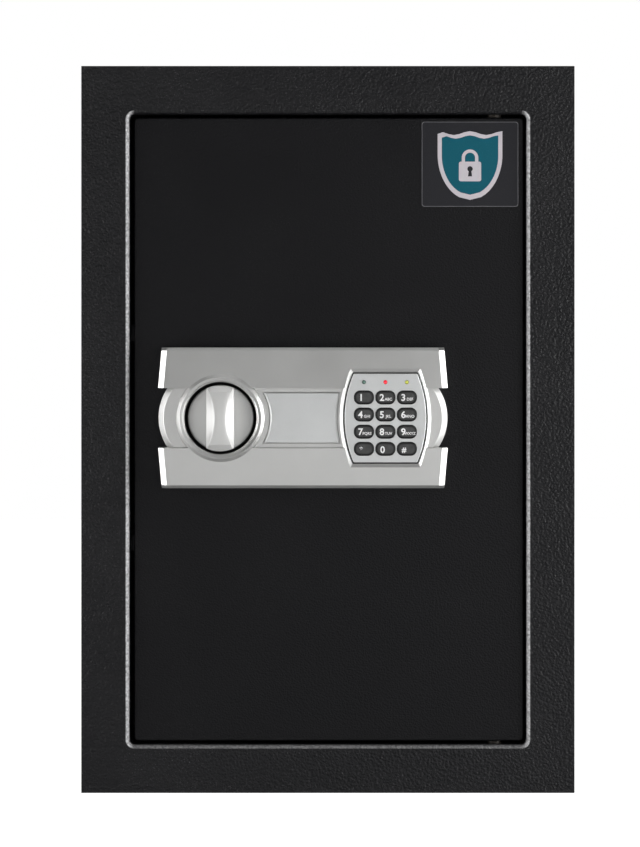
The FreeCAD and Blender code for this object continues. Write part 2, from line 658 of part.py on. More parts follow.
def keypad_plate():
    """Plate in the surround with a window for each key and lamp, and posts to the board."""
    plate = barrel(0, PLATE_FRONT_Y, PLATE_SEAT_Y, 1.5)
    plate = plate.makeFillet(0.5, edges_at_y(plate, PLATE_FRONT_Y))
    posts = [rod_y(PAD_X + dx, LOCK_Z + dz, 1.8, PLATE_SEAT_Y, BOARD_FRONT_Y) for dx, dz in PAD_POSTS]
    y0, y1 = PLATE_FRONT_Y - 1, PLATE_SEAT_Y + 0.1
    windows = [key_block(x, z, KEY_CLEARANCE, y0, y1) for x, z in key_places()]
    windows += [rod_y(x, z, LED_R + 0.1, y0, y1) for x, z in led_places()]
    return joined([plate] + posts).cut(windows)


def keypad_mat():
    """Rubber mat on the board with a dome under each key."""
    w = 1.5 * KEY_PITCH_X + 1
    z1 = LOCK_Z + KEY_TOP_ROW + KEY_H / 2 + 1
    z0 = LOCK_Z + KEY_TOP_ROW - 3 * KEY_PITCH_Z - KEY_H / 2 - 1
    mat = box(PAD_X - w, PAD_X + w, BOARD_FRONT_Y - 1.2, BOARD_FRONT_Y, z0, z1)
    mat = mat.common(barrel(-FASCIA_WALL - 0.6, BOARD_FRONT_Y - 2, BOARD_FRONT_Y + 1, 1.0))
    domes = [cone_y(x, z, 2.6, 3.6, BOARD_FRONT_Y - 2.8, BOARD_FRONT_Y - 1.2) for x, z in key_places()]
    y0, y1 = BOARD_FRONT_Y - 2, BOARD_FRONT_Y + 1
    posts = [rod_y(PAD_X + dx, LOCK_Z + dz, 1.9, y0, y1) for dx, dz in PAD_POSTS]
    return joined([mat] + domes).cut(posts)


def keypad_board():
    return barrel(-FASCIA_WALL - 0.4, BOARD_FRONT_Y, BOARD_BACK_Y, 1.0)


def led(place):
    """A small round lamp: body, base rim and domed tip."""
    x, z = place
    tip = PLATE_FRONT_Y - 0.4
    rim = rod_y(x, z, LED_R + 0.4, BOARD_FRONT_Y - 1, BOARD_FRONT_Y)
    body = rod_y(x, z, LED_R, tip + LED_R, BOARD_FRONT_Y)
    dome = Part.makeSphere(LED_R, Vector(x, tip + LED_R, z))
    return joined([rim, body, dome])


# ---- knob and bolt work ----

def grip_outline(half_l, end_w, waist_w, y):
    """Four edges around the grip: straight ends and sides that narrow to the waist."""
    corners = four_corners(KNOB_X, end_w, half_l, y)
    right = Vector(KNOB_X + waist_w, y, LOCK_Z)
    left = Vector(KNOB_X - waist_w, y, LOCK_Z)
    return Part.Wire([
        Part.LineSegment(corners[0], corners[1]).toShape(),
        Part.Arc(corners[1], right, corners[2]).toShape(),
        Part.LineSegment(corners[2], corners[3]).toShape(),
        Part.Arc(corners[3], left, corners[0]).toShape(),
    ])


def knob():
    """A disc with an upright grip across it, whose top is scooped at both sides to a narrow waist."""
    disc = rod_y(KNOB_X, LOCK_Z, KNOB_R, DISC_Y, DISC_BACK_Y)
    hub = rod_y(KNOB_X, LOCK_Z, 9.0, DISC_BACK_Y, WELL_FLOOR_Y - 0.3)
    base_w = GRIP_BASE_HALF_W
    foot = grip_outline(GRIP_HALF_L, base_w, base_w + 0.1, DISC_Y - GRIP_H + GRIP_SCOOP)
    top = grip_outline(GRIP_TOP_HALF_L, GRIP_END_HALF_W, GRIP_WAIST_HALF_W, DISC_Y - GRIP_H)
    upright = Part.Face(foot).extrude(Vector(0, GRIP_H - GRIP_SCOOP + 1, 0))
    grip = joined([upright, Part.makeLoft([foot, top], True, True)])
    grip = grip.common(rod_y(KNOB_X, LOCK_Z, KNOB_R, DISC_Y - GRIP_H - 1, DISC_BACK_Y))
    bore = rod_y(KNOB_X, LOCK_Z, SPINDLE_R, DISC_BACK_Y - 3, WELL_FLOOR_Y + 1)
    return joined([disc, hub, grip]).cut(bore)


def spindle():
    return rod_y(KNOB_X, LOCK_Z, SPINDLE_R, DISC_BACK_Y - 3, CARRIAGE_Y1 + 4)


def drive_crank():
    """Arm on the spindle's end whose pin moves the bolt carriage."""
    y0, y1 = CARRIAGE_Y1 + 1, CARRIAGE_Y1 + 4
    hub = rod_y(KNOB_X, LOCK_Z, 9.0, y0, y1)
    end = rod_y(PIN_X, PIN_Z, CRANK_PIN_R + 2, y0, y1)
    web = box(KNOB_X - 5, KNOB_X + 5, y0, y1, LOCK_Z, LOCK_Z + CRANK_R)
    web.rotate(Vector(KNOB_X, 0, LOCK_Z), Vector(0, 1, 0), CRANK_ANGLE)
    pin = rod_y(PIN_X, PIN_Z, CRANK_PIN_R, CARRIAGE_Y0 - 0.5, y1)
    return joined([hub, end, web, pin]).cut(rod_y(KNOB_X, LOCK_Z, SPINDLE_R, y0 - 1, y1 + 1))


def spindle_bush():
    """Bearing for the spindle through the door, with a flange behind the plate."""
    sleeve = rod_y(KNOB_X, LOCK_Z, SPINDLE_BUSH_R, WELL_FLOOR_Y, DOOR_BACK_Y + 1.5)
    flange = rod_y(KNOB_X, LOCK_Z, SPINDLE_BUSH_R + 2, DOOR_BACK_Y, DOOR_BACK_Y + 1.5)
    bore = rod_y(KNOB_X, LOCK_Z, SPINDLE_R + RUNNING_CLEARANCE, WELL_FLOOR_Y - 1, DOOR_BACK_Y + 3)
    return joined([sleeve, flange]).cut(bore)


def bolt_carriage():
    """Sliding plate: a tall strip with a flange for the bolts, and an arm with the blocking tooth."""
    y0, y1 = CARRIAGE_Y0, CARRIAGE_Y1
    z0, z1 = LOCK_Z - CARRIAGE_HALF_H, LOCK_Z + CARRIAGE_HALF_H
    strip = box(CARRIAGE_X0, KNOB_X + 15.7, y0, y1, z0, z1)
    arm = box(CARRIAGE_X0, SOLENOID_X - 7, y0, y1, LOCK_Z - 16, LOCK_Z + 22.5)
    tooth_x0, tooth_x1 = SOLENOID_X + PLUNGER_R + 1, SOLENOID_X + PLUNGER_R + 7
    tongue = box(SOLENOID_X - 8, tooth_x1, y0, y1, LOCK_Z - 16, TONGUE_TOP_Z)
    tooth = box(tooth_x0, tooth_x1, y0, SOLENOID_Y + 4.5, TONGUE_TOP_Z - 2, TOOTH_TOP_Z)
    flange = box(CARRIAGE_X0, CARRIAGE_X0 + 2.5, y0, BOLT_Y + 6.5, z0, z1)
    pin_r = CRANK_PIN_R + PIN_SLOT_CLEARANCE
    pin_z0, pin_z1 = PIN_Z - CRANK_PIN_R - 0.5, LOCK_Z + CRANK_R + CRANK_PIN_R + 0.6
    cuts = [
        slot_x(KNOB_X, KNOB_X + BOLT_TRAVEL, LOCK_Z, SPINDLE_R + 1.2, y0 - 1, y1 + 1),
        box(PIN_X - pin_r, PIN_X + pin_r, y0 - 1, y1 + 1, pin_z0, pin_z1),
    ]
    for s in (-1, 1):
        z = LOCK_Z + s * STUD_OFFSET_Z
        cuts.append(slot_x(STUD_X, STUD_X + BOLT_TRAVEL, z, STUD_R + SLIDE_CLEARANCE, y0 - 1, y1 + 1))
    cuts += [rod_x(BOLT_Y, z, 3.0, CARRIAGE_X0 - 1, CARRIAGE_X0 + 4) for z in BOLT_Z]
    shape = joined([strip, arm, tongue, tooth, flange]).cut(cuts)
    windows = []
    for s in (-1, 1):
        z = LOCK_Z + s * (CARRIAGE_HALF_H - 28)
        windows.append(slot_x(STUD_X + 2, STUD_X + 13, z, 5.0, y0 - 1, y1 + 1))
    return shape.cut(windows)


def carriage_studs():
    """Headed studs on the door that guide the carriage's slots."""
    studs = []
    for s in (-1, 1):
        z = LOCK_Z + s * STUD_OFFSET_Z
        shank = rod_y(STUD_X, z, STUD_R, DOOR_BACK_Y, CARRIAGE_Y1 + 2)
        head = rod_y(STUD_X, z, STUD_R + 2.5, CARRIAGE_Y1 + 0.3, CARRIAGE_Y1 + 2)
        studs.append(joined([shank, head]))
    return Part.makeCompound(studs)


def locking_bolts():
    """Round bolts with a bevelled tip, tapped at their inner end."""
    bolts = []
    for z in BOLT_Z:
        bolt = rod_x(BOLT_Y, z, BOLT_R, BOLT_TIP_X, CARRIAGE_X0)
        tip = [e for e in bolt.Edges if abs(e.BoundBox.XMax - BOLT_TIP_X) < 1e-5]
        bolt = bolt.makeChamfer(1.0, tip)
        bolts.append(bolt.cut(rod_x(BOLT_Y, z, 3.0, CARRIAGE_X0 - 12, CARRIAGE_X0 + 1)))
    return Part.makeCompound(bolts)


def bolt_screws():
    """Socket-head screws that hold the bolts to the carriage."""
    screws = []
    for z in BOLT_Z:
        x = CARRIAGE_X0 + 2.5
        shank = rod_x(BOLT_Y, z, 3.0, CARRIAGE_X0 - 12, x)
        head = rod_x(BOLT_Y, z, 5.0, x, x + 3)
        socket = rod_x(BOLT_Y, z, 2.4, x + 1.2, x + 4)
        screws.append(joined([shank, head]).cut(socket))
    return Part.makeCompound(screws)


# ---- override lock and solenoid ----

def lock_cylinder():
    """Housing of the override lock, with a head in the fascia."""
    head_y = COVER_SEAT_Y + 0.5
    head = rod_y(LOCK_X, LOCK_Z, HOUSING_R + 1.5, head_y, head_y + 1.5)
    housing = rod_y(LOCK_X, LOCK_Z, HOUSING_R, head_y, DOOR_BACK_Y + 15)
    bore = rod_y(LOCK_X, LOCK_Z, PLUG_R + RUNNING_CLEARANCE, head_y - 1, DOOR_BACK_Y + 16)
    return joined([head, housing]).cut(bore)


def lock_nut():
    """Hexagonal nut behind the door plate."""
    points = []
    for n in range(7):
        turn = math.radians(60 * n)
        points.append(Vector(LOCK_X + 13 * math.cos(turn), 0, LOCK_Z + 13 * math.sin(turn)))
    sides = [Part.LineSegment(a, b).toShape() for a, b in zip(points, points[1:])]
    nut = prism_y(sides, DOOR_BACK_Y, DOOR_BACK_Y + 4)
    return nut.cut(rod_y(LOCK_X, LOCK_Z, HOUSING_R, DOOR_BACK_Y - 1, DOOR_BACK_Y + 5))


def lock_plug():
    """Turning core of the override lock, with a slot for its blade key and a stub for the cam."""
    front = COVER_SEAT_Y + 0.7
    core = rod_y(LOCK_X, LOCK_Z, PLUG_R, front, DOOR_BACK_Y + 16.5)
    stub = rod_y(LOCK_X, LOCK_Z, 3.0, DOOR_BACK_Y + 16.5, DOOR_BACK_Y + 19)
    slot = box(LOCK_X - 0.9, LOCK_X + 0.9, front - 1, front + 12, LOCK_Z - 3.8, LOCK_Z + 3.8)
    return joined([core, stub]).cut(slot)


def lock_cam():
    """Arm on the plug that lifts the solenoid's collar."""
    y0, y1 = DOOR_BACK_Y + 16.5, DOOR_BACK_Y + 19
    hub = rod_y(LOCK_X, LOCK_Z, 6.5, y0, y1)
    arm = box(LOCK_X, LOCK_X + CAM_ARM, y0, y1, LOCK_Z - CAM_TIP_R, LOCK_Z + CAM_TIP_R)
    tip = rod_y(LOCK_X + CAM_ARM, LOCK_Z, CAM_TIP_R, y0, y1)
    cam = joined([hub, arm, tip]).cut(rod_y(LOCK_X, LOCK_Z, 3.0, y0 - 1, y1 + 1))
    cam.rotate(Vector(LOCK_X, 0, LOCK_Z), Vector(0, -1, 0), CAM_ANGLE)
    return cam


def solenoid_frame():
    """Bent steel strap that holds the coil, fixed to the door plate."""
    x0, x1 = SOLENOID_X - 13, SOLENOID_X + 13
    y0, y1 = DOOR_BACK_Y, SOLENOID_Y + 10.5
    z0, z1 = LOCK_Z + 24, LOCK_Z + 62
    strap = box(x0, x1, y0, y1, z0, z1).cut(box(x0 - 1, x1 + 1, y0 + 2, y1 + 1, z0 + 2, z1 - 2))
    return strap.cut(rod_z(SOLENOID_X, SOLENOID_Y, PLUNGER_R + 0.3, z0 - 1, z1 + 1))


def solenoid_coil():
    """Winding between two cheeks, bored for the plunger."""
    z0, z1 = LOCK_Z + 26, LOCK_Z + 60
    winding = rod_z(SOLENOID_X, SOLENOID_Y, COIL_R, z0, z1)
    cheeks = [rod_z(SOLENOID_X, SOLENOID_Y, COIL_R + 0.5, *ends) for ends in ((z0, z0 + 1.5), (z1 - 1.5, z1))]
    return joined([winding] + cheeks).cut(rod_z(SOLENOID_X, SOLENOID_Y, PLUNGER_R + 0.3, z0 - 1, z1 + 1))


def solenoid_plunger():
    """Steel core with a collar that the spring and the cam act on."""
    core = rod_z(SOLENOID_X, SOLENOID_Y, PLUNGER_R, PLUNGER_TIP_Z, LOCK_Z + 55)
    collar = rod_z(SOLENOID_X, SOLENOID_Y, 8.0, COLLAR_Z, COLLAR_Z + 1.2)
    return joined([core, collar])


def solenoid_spring():
    """The space of the coil spring between collar and strap, pressed together at rest."""
    z0, z1 = COLLAR_Z + 1.4, COLLAR_Z + 5.4
    return rod_z(SOLENOID_X, SOLENOID_Y, 5.6, z0, z1).cut(rod_z(SOLENOID_X, SOLENOID_Y, 4.0, z0 - 1, z1 + 1))


# ---- battery, wiring, reset button ----

def battery_case():
    """Tray for four cells, on two feet on the door plate."""
    w, h = CASE_HALF_W, CASE_HALF_H
    tray = box(CASE_X - w, CASE_X + w, CASE_Y0, CASE_Y1, CASE_Z - h, CASE_Z + h)
    t = CASE_WALL
    room = box(CASE_X - w + t, CASE_X + w - t, CASE_Y0 + t, CASE_Y1 + 1, CASE_Z - h + t, CASE_Z + h - t)
    feet = [rod_y(CASE_X, CASE_Z + s * (h - 8), 5.0, DOOR_BACK_Y, CASE_Y0) for s in (-1, 1)]
    return joined([tray.cut(room)] + feet)


def cell_places():
    """X of each cell with the direction that its button end faces."""
    return [(CASE_X + (n - 1.5) * CELL_PITCH, 1 if n % 2 else -1) for n in range(4)]


def batteries():
    """Four AA cells side by side, alternating."""
    y = CASE_Y0 + CASE_WALL + CELL_R
    cells = []
    for x, up in cell_places():
        z0, z1 = sorted((CASE_Z - up * CELL_L / 2, CASE_Z + up * (CELL_L / 2 - 1.4)))
        body = rod_z(x, y, CELL_R, z0, z1)
        button = rod_z(x, y, 2.75, *sorted((CASE_Z + up * (CELL_L / 2 - 2), CASE_Z + up * CELL_L / 2)))
        cells.append(joined([body, button]))
    return Part.makeCompound(cells)


def battery_contacts():
    """A plate and a spring cone at each cell's flat end, and a plain stud at its button end."""
    y = CASE_Y0 + CASE_WALL + CELL_R
    wall = CASE_HALF_H - CASE_WALL
    contacts = []
    for x, up in cell_places():
        for s in (-1, 1):
            z0, z1 = sorted((CASE_Z + s * wall, CASE_Z + s * (wall - 0.5)))
            tip = CASE_Z + s * CELL_L / 2
            foot = CASE_Z + s * (wall - 0.5)
            radii = (2.4, 2.4) if s == up else (5.5, 3.0)
            plate = box(x - 6, x + 6, y - 6, y + 6, z0, z1)
            run = abs(foot - tip)
            if radii[0] == radii[1]:
                spring = Part.makeCylinder(radii[0], run, Vector(x, y, foot), Vector(0, 0, -s))
            else:
                spring = Part.makeCone(radii[0], radii[1], run, Vector(x, y, foot), Vector(0, 0, -s))
            contacts.append(joined([plate, spring]))
    return Part.makeCompound(contacts)


def battery_lid():
    """Lid over the window in the inner cover, with a rib that fits in it."""
    w, h = CASE_HALF_W + 2, CASE_HALF_H + 2
    plate = block(CASE_X - w, CASE_X + w, COVER_BACK_Y, COVER_BACK_Y + 1.5, CASE_Z - h, CASE_Z + h, 3.0)
    y0 = CASE_Y1 + 1.5
    rib = block(CASE_X - w + 4, CASE_X + w - 4, y0, COVER_BACK_Y, CASE_Z - h + 4, CASE_Z + h - 4, 1.5)
    room = box(CASE_X - w + 6, CASE_X + w - 6, y0 - 1, COVER_BACK_Y, CASE_Z - h + 6, CASE_Z + h - 6)
    return joined([plate, rib.cut(room)])


def tube(points, radius, bend):
    """A round lead along straight runs joined by tangent arcs."""
    edges = []
    start = points[0]
    for before, corner, after in zip(points, points[1:], points[2:]):
        into = (corner - before).normalize()
        away = (after - corner).normalize()
        tangent = bend * math.tan(into.getAngle(away) / 2)
        a, b = corner - into * tangent, corner + away * tangent
        centre_way = (away - into).normalize()
        centre = corner + centre_way * math.hypot(bend, tangent)
        middle = centre - centre_way * bend
        edges.append(Part.LineSegment(start, a).toShape())
        edges.append(Part.Arc(a, middle, b).toShape())
        start = b
    edges.append(Part.LineSegment(start, points[-1]).toShape())
    path = Part.Wire(edges)
    section = Part.Wire([Part.Circle(points[0], points[1] - points[0], radius).toShape()])
    return path.makePipeShell([section], True, True)


def wiring_loom():
    """Two leads from the board through the door: one to the battery case, one to the coil."""
    x = PAD_X
    y = CASE_Y0 + CASE_DEPTH / 2 + 1
    battery_lead = [(x, BOARD_BACK_Y, LOCK_Z), (x, y, LOCK_Z), (CASE_X + 6, y, LOCK_Z)]
    battery_lead.append((CASE_X + 6, y, CASE_Z + CASE_HALF_H))
    z = LOCK_Z + 43
    coil_lead = [(x + 6, BOARD_BACK_Y, LOCK_Z), (x + 6, SOLENOID_Y, LOCK_Z), (x + 6, SOLENOID_Y, z)]
    coil_lead.append((SOLENOID_X + COIL_R, SOLENOID_Y, z))
    leads = [tube([Vector(*p) for p in lead], 1.5, 6.0) for lead in (battery_lead, coil_lead)]
    return Part.makeCompound(leads)


def reset_button():
    """Round button that stands through the inner cover, with a flange behind it."""
    cap = rod_y(RESET_X, RESET_Z, RESET_R, INNER_BACK_Y - 2, COVER_BACK_Y + 1.8)
    cap = cap.makeFillet(0.5, edges_at_y(cap, COVER_BACK_Y + 1.8))
    return joined([cap, rod_y(RESET_X, RESET_Z, RESET_R + 1.2, INNER_BACK_Y - 3, INNER_BACK_Y - 2)])


NODES = {
    "front_frame": front_frame,
    "body_shell": body_shell,
    "back_panel": back_panel,
    "strike_plate": strike_plate,
    "hinge_brackets": hinge_brackets,
    "hinge_bushes": hinge_bushes,
    "floor_mat": floor_mat,
    "shelf_pins": shelf_pins,
    "shelf_upper": lambda: shelf(SHELF_Z[0]),
    "shelf_lower": lambda: shelf(SHELF_Z[1]),
    "door_plate": door_plate,
    "door_inner_frame": door_inner_frame,
    "inner_cover": inner_cover,
    "cover_screws": cover_screws,
    "hinge_lugs": hinge_lugs,
    "hinge_pins": hinge_pins,
    "door_label": door_label,
    "fascia": fascia,
    "fascia_screws": fascia_screws,
    "override_cover": override_cover,
    "keypad_plate": keypad_plate,
    "keypad_mat": keypad_mat,
    "keypad_board": keypad_board,
    "led_green": lambda: led(led_places()[0]),
    "led_red": lambda: led(led_places()[1]),
    "led_yellow": lambda: led(led_places()[2]),
    "knob": knob,
    "spindle": spindle,
    "drive_crank": drive_crank,
    "spindle_bush": spindle_bush,
    "bolt_carriage": bolt_carriage,
    "carriage_studs": carriage_studs,
    "locking_bolts": locking_bolts,
    "bolt_screws": bolt_screws,
    "lock_cylinder": lock_cylinder,
    "lock_nut": lock_nut,
    "lock_plug": lock_plug,
    "lock_cam": lock_cam,
    "solenoid_frame": solenoid_frame,
    "solenoid_coil": solenoid_coil,
    "solenoid_plunger": solenoid_plunger,
    "solenoid_spring": solenoid_spring,
    "battery_case": battery_case,
    "batteries": batteries,
    "battery_contacts": battery_contacts,
    "battery_lid": battery_lid,
    "wiring_loom": wiring_loom,
    "reset_button": reset_button,
}


def main():
    os.makedirs("parts", exist_ok=True)
    shapes = {name: make() for name, make in NODES.items()}
    for name, (x, z) in zip(KEY_NAMES, key_places()):
        shapes["key_" + name] = key(x, z)
    for name, shape in shapes.items():
        shape.exportStep("parts/" + name + ".step")


main()
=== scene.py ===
import math

import bpy
import numpy as np
from mathutils import Matrix, Vector


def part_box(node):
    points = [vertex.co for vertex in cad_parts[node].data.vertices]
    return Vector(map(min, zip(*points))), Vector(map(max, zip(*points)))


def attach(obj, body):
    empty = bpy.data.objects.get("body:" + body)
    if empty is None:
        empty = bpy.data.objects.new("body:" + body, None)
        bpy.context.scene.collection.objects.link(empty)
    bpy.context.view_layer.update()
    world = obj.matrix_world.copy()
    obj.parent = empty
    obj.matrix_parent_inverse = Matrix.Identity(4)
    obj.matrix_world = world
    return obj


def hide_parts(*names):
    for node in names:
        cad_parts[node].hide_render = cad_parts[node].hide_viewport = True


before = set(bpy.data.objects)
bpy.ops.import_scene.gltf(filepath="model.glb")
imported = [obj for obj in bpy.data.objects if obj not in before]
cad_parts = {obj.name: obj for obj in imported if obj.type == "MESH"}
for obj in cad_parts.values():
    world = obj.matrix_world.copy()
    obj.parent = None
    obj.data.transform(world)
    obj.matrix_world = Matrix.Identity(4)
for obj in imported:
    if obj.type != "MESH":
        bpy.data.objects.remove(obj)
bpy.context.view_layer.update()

mm = 0.001
tau = 2 * math.pi


# ---- Body: a tube of folded sheet with a welded back, powder coated black like everything made
# of sheet on this safe. The coat is a baked, finely pebbled skin with small glinting specks.

def new_group(name, inputs, outputs):
    """Empty shader group with float inputs (name, default) and outputs (name, socket type)."""
    group = bpy.data.node_groups.new(name, "ShaderNodeTree")
    for label, value in inputs:
        socket = group.interface.new_socket(label, in_out="INPUT", socket_type="NodeSocketFloat")
        socket.default_value = value
    for label, kind in outputs:
        group.interface.new_socket(label, in_out="OUTPUT", socket_type=kind)
    return group, group.nodes.new("NodeGroupInput"), group.nodes.new("NodeGroupOutput")


def noise(tree, scale, detail=2.0, roughness=0.5):
    node = tree.nodes.new("ShaderNodeTexNoise")
    node.inputs["Scale"].default_value = scale
    node.inputs["Detail"].default_value = detail
    node.inputs["Roughness"].default_value = roughness
    return node


def object_noise(tree, *settings):
    """Noise nodes on Object coordinates, one for each (scale, detail, roughness)."""
    coords = tree.nodes.new("ShaderNodeTexCoord").outputs["Object"]
    made = [noise(tree, *setting) for setting in settings]
    for node in made:
        tree.links.new(coords, node.inputs["Vector"])
    return made


def number_math(tree, operation, a, b):
    """One arithmetic node; each operand is a socket or a number."""
    node = tree.nodes.new("ShaderNodeMath")
    node.operation = operation
    for slot, value in zip(node.inputs, (a, b)):
        if isinstance(value, (int, float)):
            slot.default_value = value
        else:
            tree.links.new(value, slot)
    return node.outputs[0]


def map_range(tree, value, low, high, to_low, to_high):
    node = tree.nodes.new("ShaderNodeMapRange")
    tree.links.new(value, node.inputs["Value"])
    for label, number in (("From Min", low), ("From Max", high), ("To Min", to_low), ("To Max", to_high)):
        node.inputs[label].default_value = number
    return node.outputs["Result"]


def pebble_group():
    """Pebbled coat: two sizes of smooth noise for the height, cell edges for pits, and a speck mask
    that is the top of a fine noise, thinned out in broad patches."""
    group, inside, outside = new_group(
        "pebbled_coat", [("Grain", 900.0)], [("Height", "NodeSocketFloat"), ("Speck", "NodeSocketFloat"),
                                             ("Patch", "NodeSocketFloat")])
    coords = group.nodes.new("ShaderNodeTexCoord").outputs["Object"]
    coarse, fine, patch = noise(group, 1.0, 3.0, 0.55), noise(group, 1.0, 1.0), noise(group, 14.0, 3.0)
    group.links.new(inside.outputs["Grain"], coarse.inputs["Scale"])
    group.links.new(number_math(group, "MULTIPLY", inside.outputs["Grain"], 1.9), fine.inputs["Scale"])
    pits = group.nodes.new("ShaderNodeTexVoronoi")
    group.links.new(number_math(group, "MULTIPLY", inside.outputs["Grain"], 0.8), pits.inputs["Scale"])
    for node in (coarse, fine, patch, pits):
        group.links.new(coords, node.inputs["Vector"])
    bumps = number_math(group, "MULTIPLY", coarse.outputs["Fac"], 0.7)
    hollows = number_math(group, "MULTIPLY", pits.outputs["Distance"], -0.45)
    bumps = number_math(group, "ADD", bumps, hollows)
    group.links.new(bumps, outside.inputs["Height"])
    peaks = map_range(group, fine.outputs["Fac"], 0.64, 0.76, 0.0, 1.0)
    spread = map_range(group, patch.outputs["Fac"], 0.42, 0.66, 0.15, 1.0)
    group.links.new(number_math(group, "MULTIPLY", peaks, spread), outside.inputs["Speck"])
    group.links.new(patch.outputs["Fac"], outside.inputs["Patch"])
    return group


def blank_material(name):
    """A new node material with its Principled shader."""
    material = bpy.data.materials.new(name)
    material.use_nodes = True
    return material, material.node_tree, material.node_tree.nodes["Principled BSDF"]


def two_colours(tree, mask, low, high):
    """Colour that goes from low to high as the mask goes from 0 to 1; low may be a socket."""
    mix = tree.nodes.new("ShaderNodeMix")
    mix.data_type = "RGBA"
    tree.links.new(mask, mix.inputs[0])
    if isinstance(low, bpy.types.NodeSocket):
        tree.links.new(low, mix.inputs[6])
    else:
        mix.inputs[6].default_value = (*low, 1.0)
    mix.inputs[7].default_value = (*high, 1.0)
    return mix.outputs[2]


def bump(tree, height, depth, strength=1.0):
    node = tree.nodes.new("ShaderNodeBump")
    node.inputs["Distance"].default_value = depth
    node.inputs["Strength"].default_value = strength
    tree.links.new(height, node.inputs["Height"])
    return node.outputs["Normal"]


pebbled = pebble_group()


# Colour of the highlight that is painted on the frame's fold.
highlight_grey = (0.60, 0.60, 0.61)


def powder_coat(name, dark, glint, grain, depth, shine):
    """Black coat: dark base, painted lighter where a speck catches the light, rougher in patches. A
    highlight is painted where the mesh's fold attribute rises to 1: paler on its high spots, and smoother."""
    material, tree, shader = blank_material(name)
    coat = tree.nodes.new("ShaderNodeGroup")
    coat.node_tree = pebbled
    coat.inputs["Grain"].default_value = grain
    fold_highlight = tree.nodes.new("ShaderNodeAttribute")
    fold_highlight.attribute_name = "fold_highlight"
    high_spots = map_range(tree, coat.outputs["Height"], -0.1, 0.25, 0.45, 1.0)
    # Painted highlight: paler where the fold attribute is up, most on the coat's high spots.
    highlit = number_math(tree, "MULTIPLY", fold_highlight.outputs["Fac"], high_spots)
    painted = two_colours(tree, coat.outputs["Speck"], dark, glint)
    tree.links.new(two_colours(tree, highlit, painted, highlight_grey), shader.inputs["Base Color"])
    rough = map_range(tree, coat.outputs["Patch"], 0.3, 0.7, 0.36, 0.48)
    rough = number_math(tree, "SUBTRACT", rough, number_math(tree, "MULTIPLY", fold_highlight.outputs["Fac"], 0.12))
    tree.links.new(rough, shader.inputs["Roughness"])
    tree.links.new(bump(tree, coat.outputs["Height"], depth), shader.inputs["Normal"])
    shader.inputs["Specular IOR Level"].default_value = shine
    return material


body_coat = powder_coat("body_powder_coat", dark=(0.0045, 0.0045, 0.0055), glint=(0.09, 0.09, 0.095),
                        grain=560.0, depth=1.0 * mm, shine=0.28)
door_coat = powder_coat("door_powder_coat", dark=(0.0032, 0.0032, 0.0040), glint=(0.03, 0.03, 0.032),
                        grain=800.0, depth=0.45 * mm, shine=0.19)


def dress(material, *names):
    """Gives CAD nodes a finish of this file."""
    for name in names:
        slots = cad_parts[name].data.materials
        slots.clear()
        slots.append(material)


dress(body_coat, "body_shell", "back_panel", "hinge_brackets")
dress(body_coat, "hinge_lugs", "door_inner_frame", "inner_cover")


# ---- Front frame: one sheet, 2 mm thick. Its flange lies on the wall, and the edges of the opening
# are rolled over and folded back into a lip that the door closes into.

def rounded_loop(half_w, half_h, radius, centre=(0.0, 0.0), steps=8):
    """Rounded rectangle in X and Z, anticlockwise seen from the room: each corner is a quarter
    circle about a point that lies one radius inside both sides."""
    turn = np.linspace(0, math.pi / 2, steps + 1)
    turns = np.concatenate([turn + k * math.pi / 2 for k in (0, 1, 2, 3)])
    side_x = np.repeat([1, -1, -1, 1], steps + 1) * (half_w - radius)
    side_z = np.repeat([1, 1, -1, -1], steps + 1) * (half_h - radius)
    x = centre[0] + side_x + radius * np.cos(turns)
    z = centre[1] + side_z + radius * np.sin(turns)
    return np.column_stack([x, z])


def at_depth(loop, y):
    """Lifts a loop of X and Z into space at a depth, which is a number or one value per point."""
    return np.column_stack([loop[:, 0], np.broadcast_to(y, len(loop)), loop[:, 1]])


def skin(loops, start=True, end=True, ring=False):
    """Vertices and faces of a skin over a stack of loops that have as many points each: quads join
    each loop to the next, and the first and last are closed flat, or to each other in a ring."""
    grid = np.asarray(loops)
    rows, around = grid.shape[:2]
    row = np.arange(rows if ring else rows - 1)[:, None]
    here, there = row * around, (row + 1) % rows * around
    i = np.arange(around)[None, :]
    j = (i + 1) % around
    faces = np.stack([here + i, here + j, there + j, there + i], axis=-1).reshape(-1, 4).tolist()
    if start and not ring:
        faces.append(list(range(around))[::-1])
    if end and not ring:
        faces.append(list(range((rows - 1) * around, rows * around)))
    return grid.reshape(-1, 3), faces


def piece(name, skins, material, body, replaces=(), sharp=25.0):
    """One mesh object from one or more skins, smooth up to an angle, riding on a body."""
    points, faces, count = [], [], 0
    for skin_points, skin_faces in skins:
        points.append(skin_points)
        faces += [[count + n for n in face] for face in skin_faces]
        count += len(skin_points)
    mesh = bpy.data.meshes.new(name)
    mesh.from_pydata(np.concatenate(points).tolist(), [], faces)
    mesh.shade_smooth()
    mesh.set_sharp_from_angle(angle=math.radians(sharp))
    mesh.materials.append(material)
    made = bpy.data.objects.new(name, mesh)
    bpy.context.scene.collection.objects.link(made)
    if replaces:
        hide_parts(*replaces)
    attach(made, body)
    return made


def arc(centre, radius, start, stop, steps=6):
    """Points of a profile along an arc, as (inset, depth) pairs; angles are in degrees."""
    turns = np.radians(np.linspace(start, stop, steps + 1))
    return [(centre[0] + radius * math.cos(t), centre[1] + radius * math.sin(t)) for t in turns]


